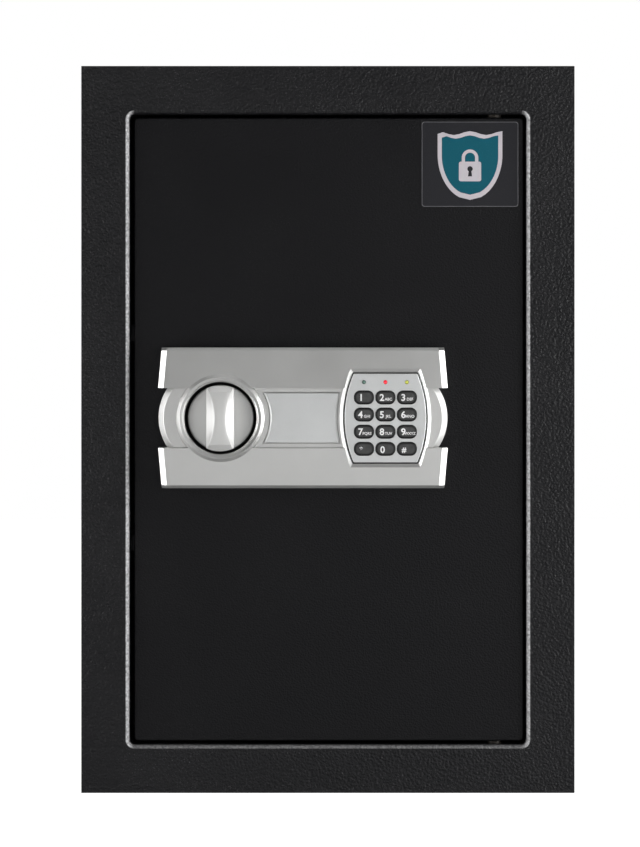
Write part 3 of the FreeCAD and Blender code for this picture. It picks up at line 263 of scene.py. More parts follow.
low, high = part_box("front_frame")
flange_x, flange_z = high.x, high.z
sheet_front, lip_back = low.y, high.y
sheet = -sheet_front
border = 37 * mm
opening_r = 4 * mm
fold_r = sheet + 1 * mm
profile = [(0.2 * mm, 0.0), (0.0, -0.3 * mm), (0.0, sheet_front + 0.3 * mm)]
profile += [(0.3 * mm, sheet_front), (0.8 * mm, sheet_front), (border - fold_r - 0.6 * mm, sheet_front)]
profile += arc((border - fold_r, sheet_front + fold_r), fold_r, -90, 0, 8)
profile += [(border, sheet_front + fold_r + 1 * mm), (border, lip_back - 0.5 * mm)]
profile += arc((border - 0.5 * mm, lip_back - 0.5 * mm), 0.5 * mm, 0, 90, 3)
profile += [(border - sheet + 0.2 * mm, lip_back), (border - sheet, lip_back - 0.3 * mm)]
profile += [(border - sheet, 1.4 * mm), (border - sheet - 0.3 * mm, 0.3 * mm)]
profile.append((border - sheet - 1.4 * mm, 0.0))
# The painted highlight is strongest where the fold begins to turn, at both sides of the opening,
# where the side lamps catch it; the lower half gets a quarter of it.
highlight_at, highlight_amount = [0.0, 0.15, 0.5, 0.8, 1.0], [0.0, 1.0, 1.0, 0.7, 0.3]
highlight_below = 0.25
loops, fold_lit = [], []
for inset, depth in profile:
    radius = 0.4 * mm if inset < 10 * mm else opening_r + border - inset
    loops.append(at_depth(rounded_loop(flange_x - inset, flange_z - inset, radius), depth))
    turn_in = (inset - border + fold_r) / fold_r
    on_fold = np.interp(turn_in, highlight_at, highlight_amount) * (depth < sheet_front + fold_r)
    x, z = np.abs(loops[-1][:, 0]), loops[-1][:, 2]
    at_side = np.clip((x - (flange_x - border - opening_r)) / opening_r, 0, 1)
    fold_lit.append(on_fold * np.maximum(at_side, np.where(z < 0, highlight_below, 0.0)))
rolled = piece("front_frame_rolled", [skin(loops, ring=True)], body_coat, "body",
               ["front_frame"])
# Per point, how much painted highlight the coat gets on the fold.
fold_highlight = rolled.data.attributes.new("fold_highlight", "FLOAT", "POINT")
fold_highlight.data.foreach_set("value", np.concatenate(fold_lit))


# ---- Inside the body: zinc-plated strike plate and shelf pins, hinge bushes in bronze coloured near
# black as painted shade, and two folded shelves in smooth dark grey paint that lift off their pins.

def grain_group():
    """Brushed or rolled metal: noise drawn out along one axis for scratches, and a soft mottle."""
    group, inside, outside = new_group(
        "drawn_grain", [("Grain", 300.0), ("Across X", 1.0), ("Across Y", 1.0), ("Across Z", 1.0)],
        [("Scratch", "NodeSocketFloat"), ("Mottle", "NodeSocketFloat")])
    coords = group.nodes.new("ShaderNodeTexCoord").outputs["Object"]
    stretch = group.nodes.new("ShaderNodeCombineXYZ")
    for axis, label in enumerate(("Across X", "Across Y", "Across Z")):
        group.links.new(inside.outputs[label], stretch.inputs[axis])
    stretched = group.nodes.new("ShaderNodeVectorMath")
    stretched.operation = "MULTIPLY"
    group.links.new(coords, stretched.inputs[0])
    group.links.new(stretch.outputs[0], stretched.inputs[1])
    scratch, mottle = noise(group, 1.0, 4.0, 0.65), noise(group, 60.0, 3.0, 0.6)
    group.links.new(inside.outputs["Grain"], scratch.inputs["Scale"])
    group.links.new(stretched.outputs[0], scratch.inputs["Vector"])
    group.links.new(coords, mottle.inputs["Vector"])
    group.links.new(scratch.outputs["Fac"], outside.inputs["Scratch"])
    group.links.new(mottle.outputs["Fac"], outside.inputs["Mottle"])
    return group


drawn_grain = grain_group()


def grained(name, dark, light, metallic, roughness, grain, across=(1, 1, 1), depth=0.02 * mm, coat=0.0):
    """A surface whose colour wanders from dark to light and whose roughness and bumps follow its
    grain; across says how much finer the grain is along each axis."""
    material, tree, shader = blank_material(name)
    marks = tree.nodes.new("ShaderNodeGroup")
    marks.node_tree = drawn_grain
    marks.inputs["Grain"].default_value = grain
    for label, amount in zip(("Across X", "Across Y", "Across Z"), across):
        marks.inputs[label].default_value = amount
    wander = map_range(tree, marks.outputs["Mottle"], 0.3, 0.7, 0.0, 1.0)
    tree.links.new(two_colours(tree, wander, dark, light), shader.inputs["Base Color"])
    rough = map_range(tree, marks.outputs["Scratch"], 0.25, 0.75, roughness - 0.06, roughness + 0.08)
    tree.links.new(rough, shader.inputs["Roughness"])
    tree.links.new(bump(tree, marks.outputs["Scratch"], depth, 0.6), shader.inputs["Normal"])
    shader.inputs["Metallic"].default_value = metallic
    shader.inputs["Coat Weight"].default_value = coat
    return material


zinc = grained("zinc_plate", (0.50, 0.51, 0.53), (0.66, 0.66, 0.64), 1.0, 0.34, 500, (0.3, 3, 3))
bright_steel = grained("ground_steel", (0.60, 0.60, 0.60), (0.72, 0.72, 0.73), 1.0, 0.22, 900, (4, 4, 0.3))
brass = grained("turned_brass", (0.66, 0.45, 0.17), (0.80, 0.60, 0.28), 1.0, 0.27, 900, (1, 6, 1))
shelf_paint = grained("shelf_grey_paint", (0.075, 0.076, 0.080), (0.095, 0.096, 0.10), 0.0, 0.42, 350)
dress(zinc, "strike_plate", "shelf_pins")
# Hinge bushes and pins: bronze coloured near black, as painted shade for the dark gap they show in.
bronze_with_painted_shade = grained("bronze_with_painted_shade", (0.010, 0.008, 0.006), (0.022, 0.017, 0.012), 0.4, 0.55, 900)
dress(bronze_with_painted_shade, "hinge_bushes")
dress(shelf_paint, "shelf_upper", "shelf_lower")


# ---- Floor mat: charcoal needled felt, 2.5 mm thick, cut to the body's floor and laid loose. Its
# faces are a little uneven and its cut edges are soft.

def felt_material():
    """Needled felt: dark matted fibres, with lighter fibre ends, and a soft edge sheen."""
    material, tree, shader = blank_material("charcoal_felt")
    fibres, clumps = object_noise(tree, (1800.0, 4.0, 0.8), (220.0, 3.0, 0.6))
    fibres.inputs["Distortion"].default_value = 1.4
    ends = map_range(tree, fibres.outputs["Fac"], 0.45, 0.70, 0.0, 1.0)
    colour = two_colours(tree, ends, (0.022, 0.022, 0.025), (0.085, 0.085, 0.09))
    tree.links.new(colour, shader.inputs["Base Color"])
    height = number_math(tree, "ADD", fibres.outputs["Fac"], clumps.outputs["Fac"])
    tree.links.new(bump(tree, height, 0.5 * mm), shader.inputs["Normal"])
    shader.inputs["Roughness"].default_value = 0.95
    shader.inputs["Sheen Weight"].default_value = 0.35
    return material


def laid_felt(low, high, inset=0.4 * mm, across=120, along=34):
    """Felt sheet: a grid in X and Y whose height over the floor is the thickness less a small
    waviness, a sum of two sines, that fades to the floor over the last millimetre at the edges."""
    u = np.linspace(low.x + inset, high.x - inset, across)
    v = np.linspace(low.y + inset, high.y - inset, along)
    x, y = np.meshgrid(u, v, indexing="ij")
    edge = np.minimum.reduce([x - low.x, high.x - x, y - low.y, high.y - y]) - inset
    rise = (high.z - low.z) * (0.90 + 0.04 * np.sin(x * 71 + y * 19) + 0.03 * np.sin(x * 23 - y * 97))
    top = low.z + rise * np.clip(0.72 + edge / (4 * mm), 0, 1)
    points = [np.stack([x, y, top], axis=-1), np.stack([x, y, np.full_like(x, low.z + 0.05 * mm)], axis=-1)]
    rim = np.concatenate([
        np.arange(across) * along, (across - 1) * along + np.arange(1, along),
        np.arange(across - 2, -1, -1) * along + along - 1, np.arange(along - 2, 0, -1)])
    i, j = np.meshgrid(np.arange(across - 1), np.arange(along - 1), indexing="ij")
    a = (i * along + j).ravel()
    quads = np.column_stack([a, a + along, a + along + 1, a + 1])
    under = quads[:, ::-1] + across * along
    nxt = np.roll(rim, -1)
    sides = np.column_stack([rim, rim + across * along, nxt + across * along, nxt])
    faces = np.concatenate([quads, under, sides]).tolist()
    return np.concatenate([p.reshape(-1, 3) for p in points]), faces


mat_low, mat_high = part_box("floor_mat")
mat = piece("floor_mat_felt", [laid_felt(mat_low, mat_high)], felt_material(), "body",
            ["floor_mat"])


# ---- Door plate: 4 mm steel, its front edge eased, welded to the hinge lugs. It sits a little
# behind the flange with an even dark gap around it.

def face_of(node):
    """A node's lowest and highest corner, its centre in X and Z, and half its width and height."""
    low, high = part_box(node)
    centre = ((low.x + high.x) / 2, (low.z + high.z) / 2)
    return low, high, centre, (high.x - low.x) / 2, (high.z - low.z) / 2


low, high, door_centre, door_w, door_h = face_of("door_plate")
door_face, door_back = low.y, high.y
edge_r, corner_r = 1.2 * mm, 3 * mm
profile = [(0.6 * mm, door_back), (0.25 * mm, door_back), (0.0, door_back - 0.25 * mm)]
profile.append((0.0, door_face + edge_r + 0.4 * mm))
profile += [(edge_r - x, door_face + edge_r + y) for x, y in arc((0, 0), edge_r, 0, -90)]
profile += [(edge_r + 0.5 * mm, door_face)]
loops = [at_depth(rounded_loop(door_w - i, door_h - i, max(corner_r - i, 0.5 * mm), door_centre), y)
         for i, y in profile]
piece("door_plate_eased", [skin(loops)], door_coat, "door", ["door_plate"])
dress(zinc, "carriage_studs", "fascia_screws")
# The hinge pins too, coloured near black as painted shade.
dress(bronze_with_painted_shade, "hinge_pins")


# ---- Label: a printed film with a thin clear edge, stuck in the upper corner of the door. The
# print is a plain guard's shield with a padlock in it.

def film_material(name, colour, roughness, coat):
    """Printed film: an even ink with faint dust and a slightly wavy, glossy face."""
    material, tree, shader = blank_material(name)
    dust, wave = object_noise(tree, (900.0, 2.0), (90.0, 2.0))
    spots = map_range(tree, dust.outputs["Fac"], 0.60, 0.80, 0.0, 1.0)
    lighter = tuple(min(1.0, c * 1.15 + 0.012) for c in colour)
    tree.links.new(two_colours(tree, spots, colour, lighter), shader.inputs["Base Color"])
    tree.links.new(bump(tree, wave.outputs["Fac"], 0.05 * mm, 0.5), shader.inputs["Normal"])
    shader.inputs["Roughness"].default_value = roughness
    shader.inputs["Coat Weight"].default_value = coat
    shader.inputs["Specular IOR Level"].default_value = 0.2
    return material


def shield_outline(half_w, top, bottom, steps=26):
    """Guard's shield in X and Z: a shallow double curve along the top and two long arcs that meet in
    a point; the side's half width falls as the square root of what is left of a quarter ellipse."""
    down = np.linspace(0, 1, steps)
    side_w = half_w * np.sqrt(np.clip(1 - np.clip((down - 0.35) / 0.65, 0, 1) ** 1.9, 0, 1))
    side_z = top - (top - bottom) * down
    across = np.linspace(1, -1, 13)[1:-1] * half_w
    crown = top + 0.06 * half_w * (np.cos(across / half_w * tau) - 1)
    right = np.column_stack([side_w[::-1], side_z[::-1]])
    left = np.column_stack([-side_w[1:-1], side_z[1:-1]])
    return np.concatenate([right, np.column_stack([across, crown]), left])


def printed(loop, centre, y, thickness=0.03 * mm):
    """A flat print: a loop of X and Z moved to its centre and given the ink's thickness."""
    moved = loop + np.array(centre)
    return skin([at_depth(moved, y + thickness), at_depth(moved, y)])


low, high, label_centre, label_w, label_h = face_of("door_label")
label_r = 2 * mm
film = film_material("label_film", (0.014, 0.014, 0.017), 0.38, 0.15)
film_y = low.y + 0.04 * mm
profile = [(0.0, high.y), (0.0, low.y + 0.10 * mm), (0.25 * mm, film_y), (0.9 * mm, film_y)]
loops = [at_depth(rounded_loop(label_w - i, label_h - i, label_r - i / 2, label_centre), y)
         for i, y in profile]
piece("door_label_film", [skin(loops)], film, "door", ["door_label"])
clear_edge = film_material("label_clear_edge", (0.16, 0.16, 0.17), 0.25, 0.4)
rims = [rounded_loop(label_w - i, label_h - i, label_r, label_centre) for i in (0.0, 0.35 * mm)]
rim_back, rim_front = low.y + 0.09 * mm, low.y + 0.02 * mm
rim_loops = [at_depth(rims[0], rim_back), at_depth(rims[0], rim_front)]
rim_loops += [at_depth(rims[1], rim_front), at_depth(rims[1], rim_back)]
piece("label_edge", [skin(rim_loops, ring=True)], clear_edge, "door")

print_y = low.y + 0.004 * mm
pale_ink = film_material("label_pale_ink", (0.50, 0.47, 0.50), 0.45, 0.1)
teal_ink = film_material("label_teal_ink", (0.001, 0.082, 0.118), 0.40, 0.05)
layer = 0.012 * mm  # each print lies this far over the one below
shield = printed(shield_outline(25.0 * mm, 25.5 * mm, -27.5 * mm), label_centre, print_y + 2 * layer)
piece("label_shield_edge", [shield], pale_ink, "door")
inner = printed(shield_outline(21.8 * mm, 22.3 * mm, -23.6 * mm), label_centre, print_y + layer)
piece("label_shield", [inner], teal_ink, "door")
lock_body = rounded_loop(8.6 * mm, 7.6 * mm, 1.6 * mm, (label_centre[0], label_centre[1] - 5.6 * mm))
turn = np.linspace(0, math.pi, 25)
bow_r, bow_in_r, bow_z, foot_z = 6.4 * mm, 3.9 * mm, 5.0 * mm, 2.0 * mm
outer = np.column_stack([bow_r * np.cos(turn), bow_z + bow_r * np.sin(turn)])
hollow = np.column_stack([bow_in_r * np.cos(turn[::-1]), bow_z + bow_in_r * np.sin(turn[::-1])])
bow = np.concatenate([[[bow_r, foot_z]], outer, [[-bow_r, foot_z], [-bow_in_r, foot_z]], hollow,
                      [[bow_in_r, foot_z]]])
padlock = [printed(lock_body, (0, 0), print_y), printed(bow, label_centre, print_y)]
piece("label_padlock", padlock, pale_ink, "door")
turn = np.linspace(-math.pi / 3, 4 * math.pi / 3, 25)
hole_r, hole_z = 2.1 * mm, -3.6 * mm
keyhole = np.column_stack([hole_r * np.cos(turn), hole_z + hole_r * np.sin(turn)])
keyhole = np.concatenate([keyhole, [[-1.6 * mm, -9.4 * mm], [1.6 * mm, -9.4 * mm]]])
piece("label_keyhole", [printed(keyhole, label_centre, print_y - 0.01 * mm)], film, "door")


# ---- Lock fascia: a hollow zinc casting in satin silver paint, screwed on from behind. Two raised
# bands with drafted ends lie above and below a low middle with round ends; a ring stands around the
# knob and a bevelled surround around the keypad.

def silver_paint(name, dark, light, roughness, metal=0.8):
    """Silver paint: fine metal flake under a thin satin lacquer, with a soft cloudy tone."""
    material, tree, shader = blank_material(name)
    flake, cloud = object_noise(tree, (5200.0, 1.0), (26.0, 2.0))
    weak_flake = number_math(tree, "MULTIPLY", flake.outputs["Fac"], 0.7)
    mixed = map_range(tree, number_math(tree, "ADD", weak_flake, cloud.outputs["Fac"]), 0.55, 1.15, 0, 1)
    tree.links.new(two_colours(tree, mixed, dark, light), shader.inputs["Base Color"])
    rough = map_range(tree, cloud.outputs["Fac"], 0.3, 0.7, roughness - 0.02, roughness + 0.02)
    tree.links.new(rough, shader.inputs["Roughness"])
    tree.links.new(bump(tree, flake.outputs["Fac"], 0.03 * mm, 0.35), shader.inputs["Normal"])
    shader.inputs["Metallic"].default_value = metal
    return material


def soften(made, width, segments=3, angle=20.0):
    """Eases every edge that turns by more than an angle, and keeps the flats flat."""
    ease = made.modifiers.new("eased_edges", "BEVEL")
    ease.width = width
    ease.segments = segments
    ease.limit_method = "ANGLE"
    ease.angle_limit = math.radians(angle)
    ease.harden_normals = True


silver = silver_paint("satin_silver_paint", (0.58, 0.58, 0.57), (0.64, 0.64, 0.63), 0.38, 0.9)
low, high, (fascia_x, lock_z), half_w, half_h = face_of("fascia")
knob_low, _, (knob_x, _), knob_r, _ = face_of("knob")
pad_x = face_of("keypad_plate")[2][0]
middle_h, middle_end_r, middle_chamfer = 22.9 * mm, 41 * mm, 4.2 * mm
well_r = 27.6 * mm
notch_r = well_r + 0.7 * mm
pad_half_h, pad_arc_r, pad_arc_in = 34 * mm, 87 * mm, 55.8 * mm
ridge_y, band_y, rim_y = door_face - 17 * mm, door_face - 15 * mm, door_face - 12.7 * mm
middle_y = door_face - 13 * mm
end_slope, end_drop, taper, bevel = 4.4 * mm, 3.4 * mm, 2.6 * mm, 2.3 * mm


def band(side):
    """A raised band as three loops: its foot, the start of the draft, and its top, where the ends
    lean in and the front falls from the ridge to the bevelled outer edge. Two notches in the inner
    side leave room for the knob's well, the circle's height at each x, and for the keypad, whose
    sides are arcs."""
    well_x = np.linspace(-1, 1, 33) * math.sqrt(notch_r ** 2 - middle_h ** 2)
    pad_z = np.linspace(middle_h, pad_half_h, 7)
    pad_out = np.sqrt(pad_arc_r ** 2 - pad_z ** 2) - pad_arc_in
    notch_x = np.concatenate([knob_x + well_x, pad_x - pad_out, pad_x + pad_out[::-1]])
    notch_z = np.concatenate([np.sqrt(notch_r ** 2 - well_x ** 2), pad_z, pad_z[::-1]])
    heights = np.array([middle_h, middle_h, half_h - bevel, half_h, half_h, half_h - bevel])
    ends = np.array([-1, 1, 1, 1, -1, -1])
    widths = half_w - taper * (heights - middle_h) / (half_h - middle_h)
    foot_x, top_x = fascia_x + ends * widths, fascia_x + ends * (widths - end_slope)
    foot_x, top_x = (np.insert(x, 1, notch_x) for x in (foot_x, top_x))
    fall = (band_y - ridge_y) * (notch_z - middle_h) / (half_h - bevel - middle_h)
    front = np.insert(np.array([ridge_y, ridge_y, band_y, rim_y, rim_y, band_y]), 1, ridge_y + fall)
    heights = np.insert(heights, 1, notch_z)
    if side < 0:
        heights, foot_x, top_x, front = -heights[::-1], foot_x[::-1], top_x[::-1], front[::-1]
    foot, top = (np.column_stack([x, lock_z + heights]) for x in (foot_x, top_x))
    points, faces = skin([at_depth(foot, door_face), at_depth(foot, front + end_drop),
                          at_depth(top, front)], end=False)
    count = len(heights)
    inner = list(range(count - 3)) + [count - 1] if side > 0 else [0] + list(range(3, count))
    edge = [count - 1, count - 4, count - 3, count - 2] if side > 0 else [0, 1, 2, 3]
    return points, faces + [[2 * count + n for n in face] for face in (inner, edge)]


def four_sided(right_arc, left_arc, steps=20):
    """Loop with two curved sides: each arc is (centre x, radius, half height), the right one bowed to
    the right and the left one to the left when its radius is positive, the other way when negative."""
    rows = np.linspace(-1, 1, steps)
    sides = []
    for (centre, radius, half), sign in ((right_arc, 1), (left_arc, -1)):
        z = rows * half * sign
        x = centre + sign * radius * np.sqrt(1 - (z / radius) ** 2)
        sides.append(np.column_stack([x, lock_z + z]))
    return np.concatenate(sides)


def middle_end(side, inset):
    """Outline of one end of the middle: straight above and below, round at its outer end, and
    hollow round the knob's well on the left and the keypad on the right."""
    end = (fascia_x + side * (half_w - middle_end_r), middle_end_r - inset, middle_h)
    hollow = (pad_x - pad_arc_in, -pad_arc_r, middle_h) if side > 0 else (knob_x, -notch_r, middle_h)
    return four_sided(end, hollow) if side > 0 else four_sided(hollow, end)


cover_half_h, cover_left_r = 19.3 * mm, 38 * mm
cover_right_x, cover_right_r = knob_x + 168.9 * mm, 80 * mm


def cover_loop(grow, ends=0.0):
    """Outline of the cylinder's cover: hollow towards the knob, and hollow towards the keypad."""
    half = cover_half_h + grow
    right = (cover_right_x, -(cover_right_r - grow + ends), half)
    left = (knob_x, -(cover_left_r - grow + ends), half)
    return four_sided(right, left)


def round_loop(x, radius, points):
    """Circle that starts low on its right side, so that it pairs with a four-sided loop."""
    turns = np.linspace(-math.pi / 4, math.pi / 4, points // 2)
    turns = np.concatenate([turns, turns + math.pi])
    return np.column_stack([x + radius * np.cos(turns), lock_z + radius * np.sin(turns)])


def circle(x, radius, y, points=96):
    turns = np.arange(points) * tau / points
    return at_depth(np.column_stack([x + radius * np.cos(turns), lock_z + radius * np.sin(turns)]), y)


def pad_loop(grow, lift=0.0):
    """Outline of the keypad, bowed at both sides, grown by an offset and lifted."""
    centre, radius, half = -pad_arc_in, pad_arc_r + grow, pad_half_h + grow
    loop = four_sided((pad_x + centre, radius, half), (pad_x - centre, radius, half))
    return loop + np.array([0.0, lift])


seat_y = middle_y + 0.7 * mm
_, _, (lock_x, _), lock_r, _ = face_of("lock_cylinder")
cover_seat, cylinder_hole = cover_loop(0.4 * mm), round_loop(lock_x, lock_r + 0.5 * mm, 40)
middle_rows = [(0.0, door_face), (0.0, middle_y + middle_chamfer), (middle_chamfer, middle_y)]
left_end, right_end = ([at_depth(middle_end(s, inset), y) for inset, y in middle_rows] for s in (-1, 1))
between = four_sided((pad_x + pad_arc_in, -pad_arc_r, middle_h), (knob_x, -notch_r, middle_h))
middle = [at_depth(between, door_face), at_depth(between, middle_y), at_depth(cover_seat, middle_y)]
middle += [at_depth(cover_seat, seat_y), at_depth(cylinder_hole, seat_y)]
middle.append(at_depth(cylinder_hole, door_face - 0.2 * mm))
ring_y, well_y = low.y, door_face - 6 * mm
ring_foot_r = 34.3 * mm
ring_rows = [(ring_foot_r, door_face), (ring_foot_r, ring_y + 6.0 * mm)]
ring_rows += [(33.7 * mm, ring_y + 2.6 * mm), (31.3 * mm, ring_y + 0.1 * mm)]
ring_rows += [(29.0 * mm, ring_y + 0.5 * mm), (28.7 * mm, ring_y)]
ring_rows += [(well_r, ring_y + 0.7 * mm), (well_r, ring_y + 1.0 * mm)]
ring = [circle(knob_x, r, y) for r, y in ring_rows]
pad_y, ledge_y = door_face - 18.1 * mm, door_face - 15.7 * mm
foot, wall, ledge = 3.9 * mm, 0.9 * mm, -2.5 * mm
surround_rows = [(foot, 0, door_face), (foot, 0, pad_y + 2.1 * mm), (1.6 * mm, 0.6 * mm, pad_y)]
surround_rows += [(wall, 0, pad_y + 0.7 * mm), (wall, 0, ledge_y)]
surround_rows += [(ledge, 0, ledge_y), (ledge, 0, door_face)]
surround = [at_depth(pad_loop(grow, lift), y) for grow, lift, y in surround_rows]
casting = [band(1), band(-1), skin(left_end), skin(right_end), skin(middle, end=False)]
casting += [skin(ring, end=False), skin(surround, ring=True)]
fascia = piece("fascia_casting", casting, silver, "door", ["fascia"])
soften(fascia, 0.45 * mm)
# A near-black lining in the knob's well: painted shade for the shadow down in it.
shade_black = grained("painted_shade_black", (0.002, 0.002, 0.002), (0.004, 0.004, 0.004), 0.0, 0.8, 900)
bush_r = 7.0 * mm
well_shade_rows = [(well_r, ring_y + 1.0 * mm), (well_r, well_y), (bush_r, well_y)]
well_shade = skin([circle(knob_x, r, y) for r, y in well_shade_rows], start=False, end=False)
piece("knob_well_shade", [well_shade], shade_black, "door")
# A near-black ring in the groove round the keypad: painted shade in the gap.
gap_shade_y = ridge_y - 0.15 * mm
gap_shade_out, gap_shade_in = 0.85 * mm, 0.05 * mm
gap_shade_rows = [(gap_shade_out, ledge_y), (gap_shade_out, gap_shade_y), (gap_shade_in, gap_shade_y), (gap_shade_in, ledge_y)]
gap_shade = skin([at_depth(pad_loop(grow), y) for grow, y in gap_shade_rows], ring=True)
piece("keypad_gap_shade", [gap_shade], shade_black, "door")


# ---- Spindle bush, override cylinder and nut: turned brass, with a nickel-plated head and a brass
# core that has a slot for a blade key.

nickel = grained("nickel_plate", (0.55, 0.53, 0.49), (0.70, 0.68, 0.63), 1.0, 0.20, 1200, (1, 5, 1))
dress(nickel, "lock_cylinder")
dress(brass, "spindle_bush", "lock_nut", "lock_plug")
dress(zinc, "lock_cam")


# ---- Override cover: a moulded plate in a slightly paler silver, with bevelled ends. It snaps into
# its seat in the fascia's middle and pulls straight off to bare the override cylinder.

low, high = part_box("override_cover")
cover = [at_depth(cover_loop(0), high.y), at_depth(cover_loop(0), low.y + 1.25 * mm)]
end_bevel = 0.95 * mm
cover += [at_depth(cover_loop(-inset, end_bevel), low.y) for inset in (0.35 * mm, 0.75 * mm)]
cover_silver = silver_paint("cover_silver_paint", (0.60, 0.61, 0.61), (0.70, 0.71, 0.71), 0.38)
plate = piece("override_cover_plate", [skin(cover)], cover_silver, "cylinder_cover",
              ["override_cover"])
soften(plate, 0.25 * mm, 2)


# ---- Knob: a satin silver disc in the ring, with a grip across it. The grip's sides are scooped
# from a straight foot to a narrow waist on top, and both ends of the grip lean in.

disc_y, disc_back, hub_r = door_face - 15 * mm, door_face - 8.5 * mm, 9.0 * mm
grip_y, foot_y = knob_low.y, disc_y + 0.6 * mm
scoop = 5 * mm
facet_rise = 1 - scoop / (foot_y - grip_y)
foot_half_w, waist_half_w, spread = 10.5 * mm, 4.6 * mm, 4.0 * mm
foot_half_l, lean = 26.5 * mm, 6.5 * mm
disc_rows = [(hub_r, well_y - 0.3 * mm), (hub_r, disc_back), (knob_r - 0.8 * mm, disc_back)]
disc_rows += [(knob_r, disc_y + 5.7 * mm), (knob_r, disc_y + 0.8 * mm)]
disc_rows += [(knob_r - 0.25 * mm, disc_y + 0.25 * mm), (knob_r - 0.8 * mm, disc_y)]
disc_rows.append((knob_r - 1.6 * mm, disc_y))
disc = [circle(knob_x, r, y) for r, y in disc_rows]


def grip_point(s, t, rise):
    """Point of the grip: s runs along it and t across it, both from -1 to 1, and the rise from 0 at
    its foot to 1 on top. It is upright as far as the facets, where half the width goes from straight
    to a parabola about the waist; the top falls by a parabola along and by a fourth power across,
    which rounds its long edges; the disc's edge cuts the corners."""
    facet = np.clip((rise - facet_rise) / (1 - facet_rise), 0, 1)
    waist = foot_half_w + (waist_half_w + spread * s ** 2 - foot_half_w) * facet
    x, z = t * waist, s * (foot_half_l - lean * facet)
    top = grip_y + (1.0 * s ** 2 + 0.8 * t ** 4) * mm
    shrink = np.minimum(1, (knob_r - 0.15 * mm) / np.maximum(np.hypot(x, z), mm))
    y = foot_y * (1 - rise) + top * rise
    return np.stack([knob_x + x * shrink, y, lock_z + z * shrink], axis=-1)


def grip_skin(along=33, across=21, rises=(0.0, 0.05, 0.4, 0.69, facet_rise, 0.74, 0.8, 0.9, 0.98, 1.0)):
    """The grip's sides are loops round its edge at each rise, and its top is a grid between the two
    long sides that shares the last loop's points."""
    s, t = np.linspace(-1, 1, along), np.linspace(1, -1, across)
    edge_s = np.concatenate([s, np.ones(across - 2), s[::-1], -np.ones(across - 2)])
    edge_t = np.concatenate([np.ones(along), t[1:-1], -np.ones(along), t[-2:0:-1]])
    points, faces = skin([grip_point(edge_s, edge_t, rise) for rise in rises], end=False)
    inside = grip_point(*np.meshgrid(s[1:-1], t[1:-1], indexing="ij"), 1.0).reshape(-1, 3)
    index = np.zeros((along, across), dtype=int)
    last, count = (len(rises) - 1) * len(edge_s), len(edge_s)
    index[:, 0] = last + np.arange(along)
    index[-1, 1:-1] = last + along + np.arange(across - 2)
    index[:, -1] = last + (2 * along + across - 3) - np.arange(along)
    index[0, 1:-1] = last + count - 1 - np.arange(across - 2)
    index[1:-1, 1:-1] = len(points) + np.arange(len(inside)).reshape(along - 2, across - 2)
    quads = np.stack([index[:-1, :-1], index[1:, :-1], index[1:, 1:], index[:-1, 1:]], axis=-1)
    return np.concatenate([points, inside]), faces + quads.reshape(-1, 4).tolist()


knob_silver = silver_paint("knob_satin_silver", (0.54, 0.54, 0.53), (0.60, 0.60, 0.59), 0.38, 0.22)
knob = piece("knob_turned", [skin(disc), grip_skin()], knob_silver, "knob_body",
             ["knob"], sharp=30)
soften(knob, 0.35 * mm, 3, 28)
dress(zinc, "spindle", "drive_crank")


# ---- Keypad: a silver plate in the surround, twelve dark rubber keys that stand through it, and
# the rubber mat and board that they press on.

def rubber_material(name, dark, light):
    """Silicone rubber: matt, with a faint pale bloom and a very fine tooth. Where the mesh's rim
    attribute is 1 the colour is painted dark as shade, without the bloom."""
    material, tree, shader = blank_material(name)
    bloom, tooth = object_noise(tree, (240.0, 3.0), (5000.0, 1.0))
    rim = tree.nodes.new("ShaderNodeAttribute")
    rim.attribute_name = "rim"
    dusty = map_range(tree, bloom.outputs["Fac"], 0.3, 0.7, 0.6, 1.0)
    # Painted shade: no bloom and the dark colour towards each key's rim.
    unshaded = map_range(tree, rim.outputs["Fac"], 0.0, 1.0, 1.0, 0.0)
    mask = number_math(tree, "MULTIPLY", dusty, unshaded)
    tree.links.new(two_colours(tree, mask, dark, light), shader.inputs["Base Color"])
    tree.links.new(bump(tree, tooth.outputs["Fac"], 0.02 * mm, 0.5), shader.inputs["Normal"])
    shader.inputs["Roughness"].default_value = 0.6
    shader.inputs["Specular IOR Level"].default_value = 0.3
    return material


key_rubber = rubber_material("key_rubber", (0.006, 0.006, 0.006), (0.066, 0.066, 0.066))
mat_rubber = rubber_material("mat_rubber", (0.020, 0.020, 0.021), (0.045, 0.045, 0.046))
legend_ink = film_material("key_legend_ink", (0.80, 0.80, 0.80), 0.5, 0.0)
plate_silver = silver_paint("keypad_plate_silver", (0.60, 0.61, 0.61), (0.70, 0.71, 0.71), 0.42)
dress(plate_silver, "keypad_plate")
dress(mat_rubber, "keypad_mat")


key_r, key_flange, flange_t = 4.6 * mm, 0.5 * mm, 1.2 * mm


def key_cap(low, high, centre, half_x, half_z):
    """A key as a stack of rounded loops: flange, upright side, round-over, and a faintly domed top
    that falls from its middle as the square of the inset. Its rim is 1 near the edge and 0 on top,
    and marks where shade is painted."""
    half_x, half_z = half_x - key_flange, half_z - key_flange
    rows = [(-key_flange, high.y), (-key_flange, high.y - flange_t), (0.0, high.y - flange_t)]
    rows.append((0.0, low.y + 1.1 * mm))
    rows += [(1.1 * mm - x, low.y + 1.15 * mm + y) for x, y in arc((0, 0), 1.08 * mm, 0, -78, 6)]
    for inset in np.linspace(1.2, 4.9, 7):
        rows.append((inset * mm, low.y + 0.08 * mm * (1 - (inset - 1.2) / 3.7) ** 2))
    loops = []
    for inset, y in rows:
        radius = max(min(key_r - inset, half_z - inset - 0.02 * mm), 0.1 * mm)
        loops.append(at_depth(rounded_loop(half_x - inset, half_z - inset, radius, centre), y))
    rim = np.clip((1.9 * mm - np.array([inset for inset, _ in rows])) / (0.9 * mm), 0, 1)
    return skin(loops), np.repeat(rim, len(loops[0]))


